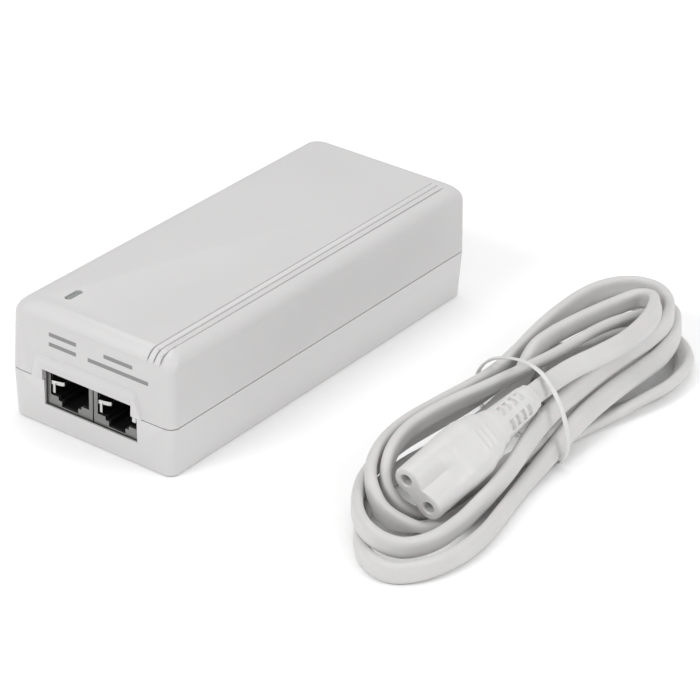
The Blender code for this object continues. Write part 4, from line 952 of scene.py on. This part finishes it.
@dataclass
class Plug:
    """The two-blade plug at the far end of the cord, lying inside the hank."""

    def build(self) -> list[Thing]:
        """Build the plug's body and dress its blades.

        Returns:
            The plug's shown pieces.
        """
        body = copy_node("mains_plug_body", "plug_body", MOULDED_PVC, edge=0.6 * MM, segments=3)
        ride(body, Body.LEAD)
        return [body, *dress(PLATED_BRASS, "mains_plug_blade_1", "mains_plug_blade_2")]


@dataclass
class TwistTie:
    """The twist tie: a plastic strip with a soft wire along its middle."""

    centre: Pair = (82.3 * MM, 9.2 * MM)
    turn: float = -20.0
    width: float = 1.5 * MM
    film: float = 0.35 * MM
    wire: float = 0.45 * MM
    steps: int = 6
    line: tuple[Pair, ...] = (
        (-14.5, 0.5), (0.0, 0.5), (14.8, 0.5), (18.9, 2.0), (20.6, 7.0), (19.7, 11.6), (17.1, 16.3),
        (13.3, 20.0), (8.7, 22.3), (3.6, 22.7), (-1.8, 21.7), (-7.8, 19.4), (-12.8, 16.6), (-16.7, 12.9),
        (-18.8, 8.6), (-18.3, 3.0),
    )

    def section(self) -> Section:
        """Return the strip's section: thin wings and a round middle over the wire."""
        half = self.width / 2
        core = self.wire / 2 + self.film / 2
        wing = [(half, 0.0), (half * 0.9, self.film * 0.4), (core * 0.9, self.film * 0.5),
                (core * 0.5, core * 0.8)]
        upper = [(-u, v) for u, v in wing] + [(0.0, core)] + wing[::-1]
        lower = [(u, -v) for u, v in reversed(upper[1:-1])]
        return upper + lower

    def build(self) -> list[Thing]:
        """Build the tie round the bundle.

        Returns:
            The tie's piece in a list.
        """
        knots = [Vector((u, 0.0, z)) * MM for u, z in self.line]
        points = catmull(knots, self.steps, closed=True)
        turned = Matrix.Rotation(math.radians(self.turn), 4, "Z")
        place = Matrix.Translation((*self.centre, 0.0)) @ turned
        rings = []
        count = len(points)
        for i, point in enumerate(points):
            run = (points[(i + 1) % count] - points[i - 1]).normalized()
            out = Vector((0.0, 1.0, 0.0)).cross(run)
            rings.append([place @ (point + Vector((0.0, u, 0.0)) + out * v) for u, v in self.section()])
        piece = place_mesh("twist_tie_strip", skin(rings, closed=True), TIE_FILM, smooth=SWEPT_SHARP)
        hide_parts("twist_tie")
        ride(piece, Body.LEAD)
        return [piece]


@dataclass
class MainsLead:
    """The mains lead: connector, cord, tie and plug."""

    def build(self) -> None:
        """Build the lead and log its cord's length."""
        connector, cord = Connector(), Cord()
        with_pieces = connector.build() + Plug().build() + TwistTie().build()
        piece, centres, length = cord.build()
        log.info("the cord is %.3f m long", length)


# --- injector ---------------------------------------------------------------------------


@dataclass
class Case:
    """The case's two halves with the lamp's window and the blank label.

    A mark is a bar's left, right, low and high side in mm. The rest says, in mm, which
    long edges are rounded.
    """

    edge: float = 0.18 * MM
    ink: float = 0.03 * MM
    ink_step: float = 0.5 * MM
    ray_start: float = -200.0 * MM
    marks: tuple[Row, ...] = (
        (-13.9, -4.8, 27.4, 28.5), (-13.9, -4.8, 24.6, 25.7), (4.3, 13.7, 27.4, 28.5),
        (-0.9, 18.9, 24.6, 25.7),
    )
    groove_above: float = 33.5
    groove_length: float = 5.0
    parting: Pair = (13.5, 15.0)
    parting_sides: Pair = (26.0, 64.0)
    window_half: float = 21.0
    foot_below: float = 1.0
    foot_sides: Pair = (24.0, 62.0)

    def build(self) -> None:
        """Build the case."""
        halves = (("upper_cover", "case_cover", CASE_ABS), ("lower_case", "case_base", BASE_ABS))
        for node, name, finish in halves:
            half = copy_node(node, name, finish, self.edge, 3, self.edge_share)
            ride(half, Body.CASE)
        self.port_marks()
        dress(BLANK_LABEL, "rating_label")
        # The light pipe's grey is painted shade of the inside seen through it.
        dress(PIPE_SHADE_ACRYLIC, "light_pipe")
        dress(LAMP_EPOXY, "status_led")

    def edge_share(self, place: Vector, length: float) -> float:
        """Return how much of the round an edge gets: the grooves' lips and the parting line.

        Args:
            place: the edge's middle.
            length: the edge's length.

        Returns:
            The share of the round, from 0 to 1.
        """
        x, y, z = place / MM
        low, high = self.parting
        side, end = self.parting_sides
        foot_side, foot_end = self.foot_sides
        groove = z > self.groove_above and length > self.groove_length * MM
        clear = abs(x) > side or abs(y) > end and abs(x) > self.window_half
        foot = z < self.foot_below and (abs(x) > foot_side or abs(y) > foot_end)
        return 1.0 if groove or low < z < high and clear or foot else 0.0

    def port_marks(self) -> None:
        """Print the plain bars over the two sockets, on the cover's leaning front face."""
        cover = bmesh.new()
        cover.from_mesh(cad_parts["upper_cover"].data)
        face = BVHTree.FromBMesh(cover)
        cover.free()
        inward = Vector((0.0, 1.0, 0.0))
        shape = bmesh.new()
        for left, right, low, high in self.marks:
            steps = max(2, round((right - left) * MM / self.ink_step))
            rows = []
            for z in (low, (low + high) / 2, high):
                row = []
                for k in range(steps + 1):
                    x = left + (right - left) * k / steps
                    hit = face.ray_cast(Vector((x * MM, self.ray_start, z * MM)), inward)[0]
                    row.append(shape.verts.new(hit - inward * self.ink))
                rows.append(row)
            for one, two in zip(rows, rows[1:]):
                for k in range(steps):
                    shape.faces.new((one[k], one[k + 1], two[k + 1], two[k]))
        ride(place_mesh("port_marks", shape, GREY_INK), Body.CASE)


@dataclass
class NetworkSocket:
    """One shielded eight-contact modular socket."""

    name: str
    centre: float
    contact_count: int = 8
    cavity: float = 12.8 * MM
    front: float = -63.5 * MM
    spring_top: float = 13.9 * MM
    spring_width: float = 1.1 * MM
    sheet: float = 0.25 * MM
    spring_line: tuple[Pair, ...] = (
        (0.1, -0.2), (0.5, 0.0), (1.6, 0.25), (2.9, 0.6), (3.4, 1.0), (3.3, 1.7), (2.4, 3.2),
        (1.3, 4.8), (0.4, 6.2),
    )
    spring_tail: tuple[float, float, float] = (0.55, 1.35, 2.3)
    spring_edge: float = 0.05 * MM
    steps: int = 3
    parts: tuple[tuple[str, Finish, float, str], ...] = (
        ("shield", TINNED_SHEET, 0.15 * MM, "shield_metal"),
        ("housing", BLACK_PBT, 0.2 * MM, "black_plastic"),
    )

    def spring(self) -> None:
        """Fold the shield's grounding spring, which leans in from the cavity's left wall."""
        start = Vector((self.centre - self.cavity / 2, self.front, self.spring_top))
        knots = [start + Vector((x, y, 0.0)) * MM for x, y in self.spring_line]
        points = catmull(knots, self.steps)
        rings = []
        for i, point in enumerate(points):
            run = (points[min(i + 1, len(points) - 1)] - points[max(i - 1, 0)]).normalized()
            out = run.cross(Vector((0.0, 0.0, 1.0))) * self.sheet / 2
            drop = Vector((0.0, 0.0, -self.spring_width))
            rings.append([point + out, point - out, point - out + drop, point + out + drop])
        shape = skin(rings)
        near, far, length = (value * MM for value in self.spring_tail)
        corners = [(near, -self.sheet), (far, -self.sheet), (far, 0.0), (near, 0.0)]
        loops = []
        for drop in (self.spring_width * 0.5, self.spring_width + length):
            loops.append([shape.verts.new(start + Vector((x, y, -drop))) for x, y in corners])
        top, foot = loops
        for k in range(4):
            after = (k + 1) % 4
            shape.faces.new((top[k], top[after], foot[after], foot[k]))
        shape.faces.new(reversed(top))
        shape.faces.new(foot)
        piece = place_mesh(f"{self.name}_spring", shape, SPRING_BRONZE)
        soften(piece, self.spring_edge)
        ride(piece, Body.CASE)

    def build(self) -> None:
        """Build the socket's shield and housing and dress its contacts."""
        for part, finish, edge, slot in self.parts:
            piece = copy_node(f"{self.name}_socket_{part}", f"{self.name}_{part}", finish, edge)
            ride(piece, Body.CASE)
        contacts = (f"{self.name}_contact_{index + 1}" for index in range(self.contact_count))
        dress(CONTACT_GOLD, *contacts)
        dress(BLACK_PBT, f"{self.name}_magnetics")
        self.spring()


@dataclass
class Electronics:
    """The board with what stands on it, and the mains inlet."""

    def build(self) -> None:
        """Dress the electronics, whose shapes are right in the CAD."""
        dress(GREEN_BOARD, "circuit_board")
        dress(ZINC_STEEL, "board_screw_1", "board_screw_2", "inlet_pin_1", "inlet_pin_2")
        dress(BLACK_PBT, "controller_chip", "optocoupler", "switching_transistor", "bridge_rectifier")
        dress(FERRITE, "transformer_core", "common_mode_choke")
        dress(WINDING_TAPE, "transformer_winding")
        dress(CAP_SLEEVE, "output_capacitor_1", "output_capacitor_2", "bulk_capacitor")
        dress(MILL_ALUMINIUM, "heat_sink")
        dress(FILM_BOX, "mains_filter_capacitor")
        dress(FUSE_TUBE, "mains_fuse")
        inlet = copy_node("inlet_housing", "inlet_body", BLACK_PBT, edge=0.2 * MM)
        ride(inlet, Body.CASE)


def main() -> None:
    """Build the stage, the lead and the injector."""
    logging.basicConfig(level=logging.INFO, format="%(message)s")
    Stage().build()
    MainsLead().build()
    Case().build()
    NetworkSocket("data_in", -SOCKET_OFFSET).build()
    NetworkSocket("power_out", SOCKET_OFFSET).build()
    Electronics().build()


if __name__ == "__main__":
    main()
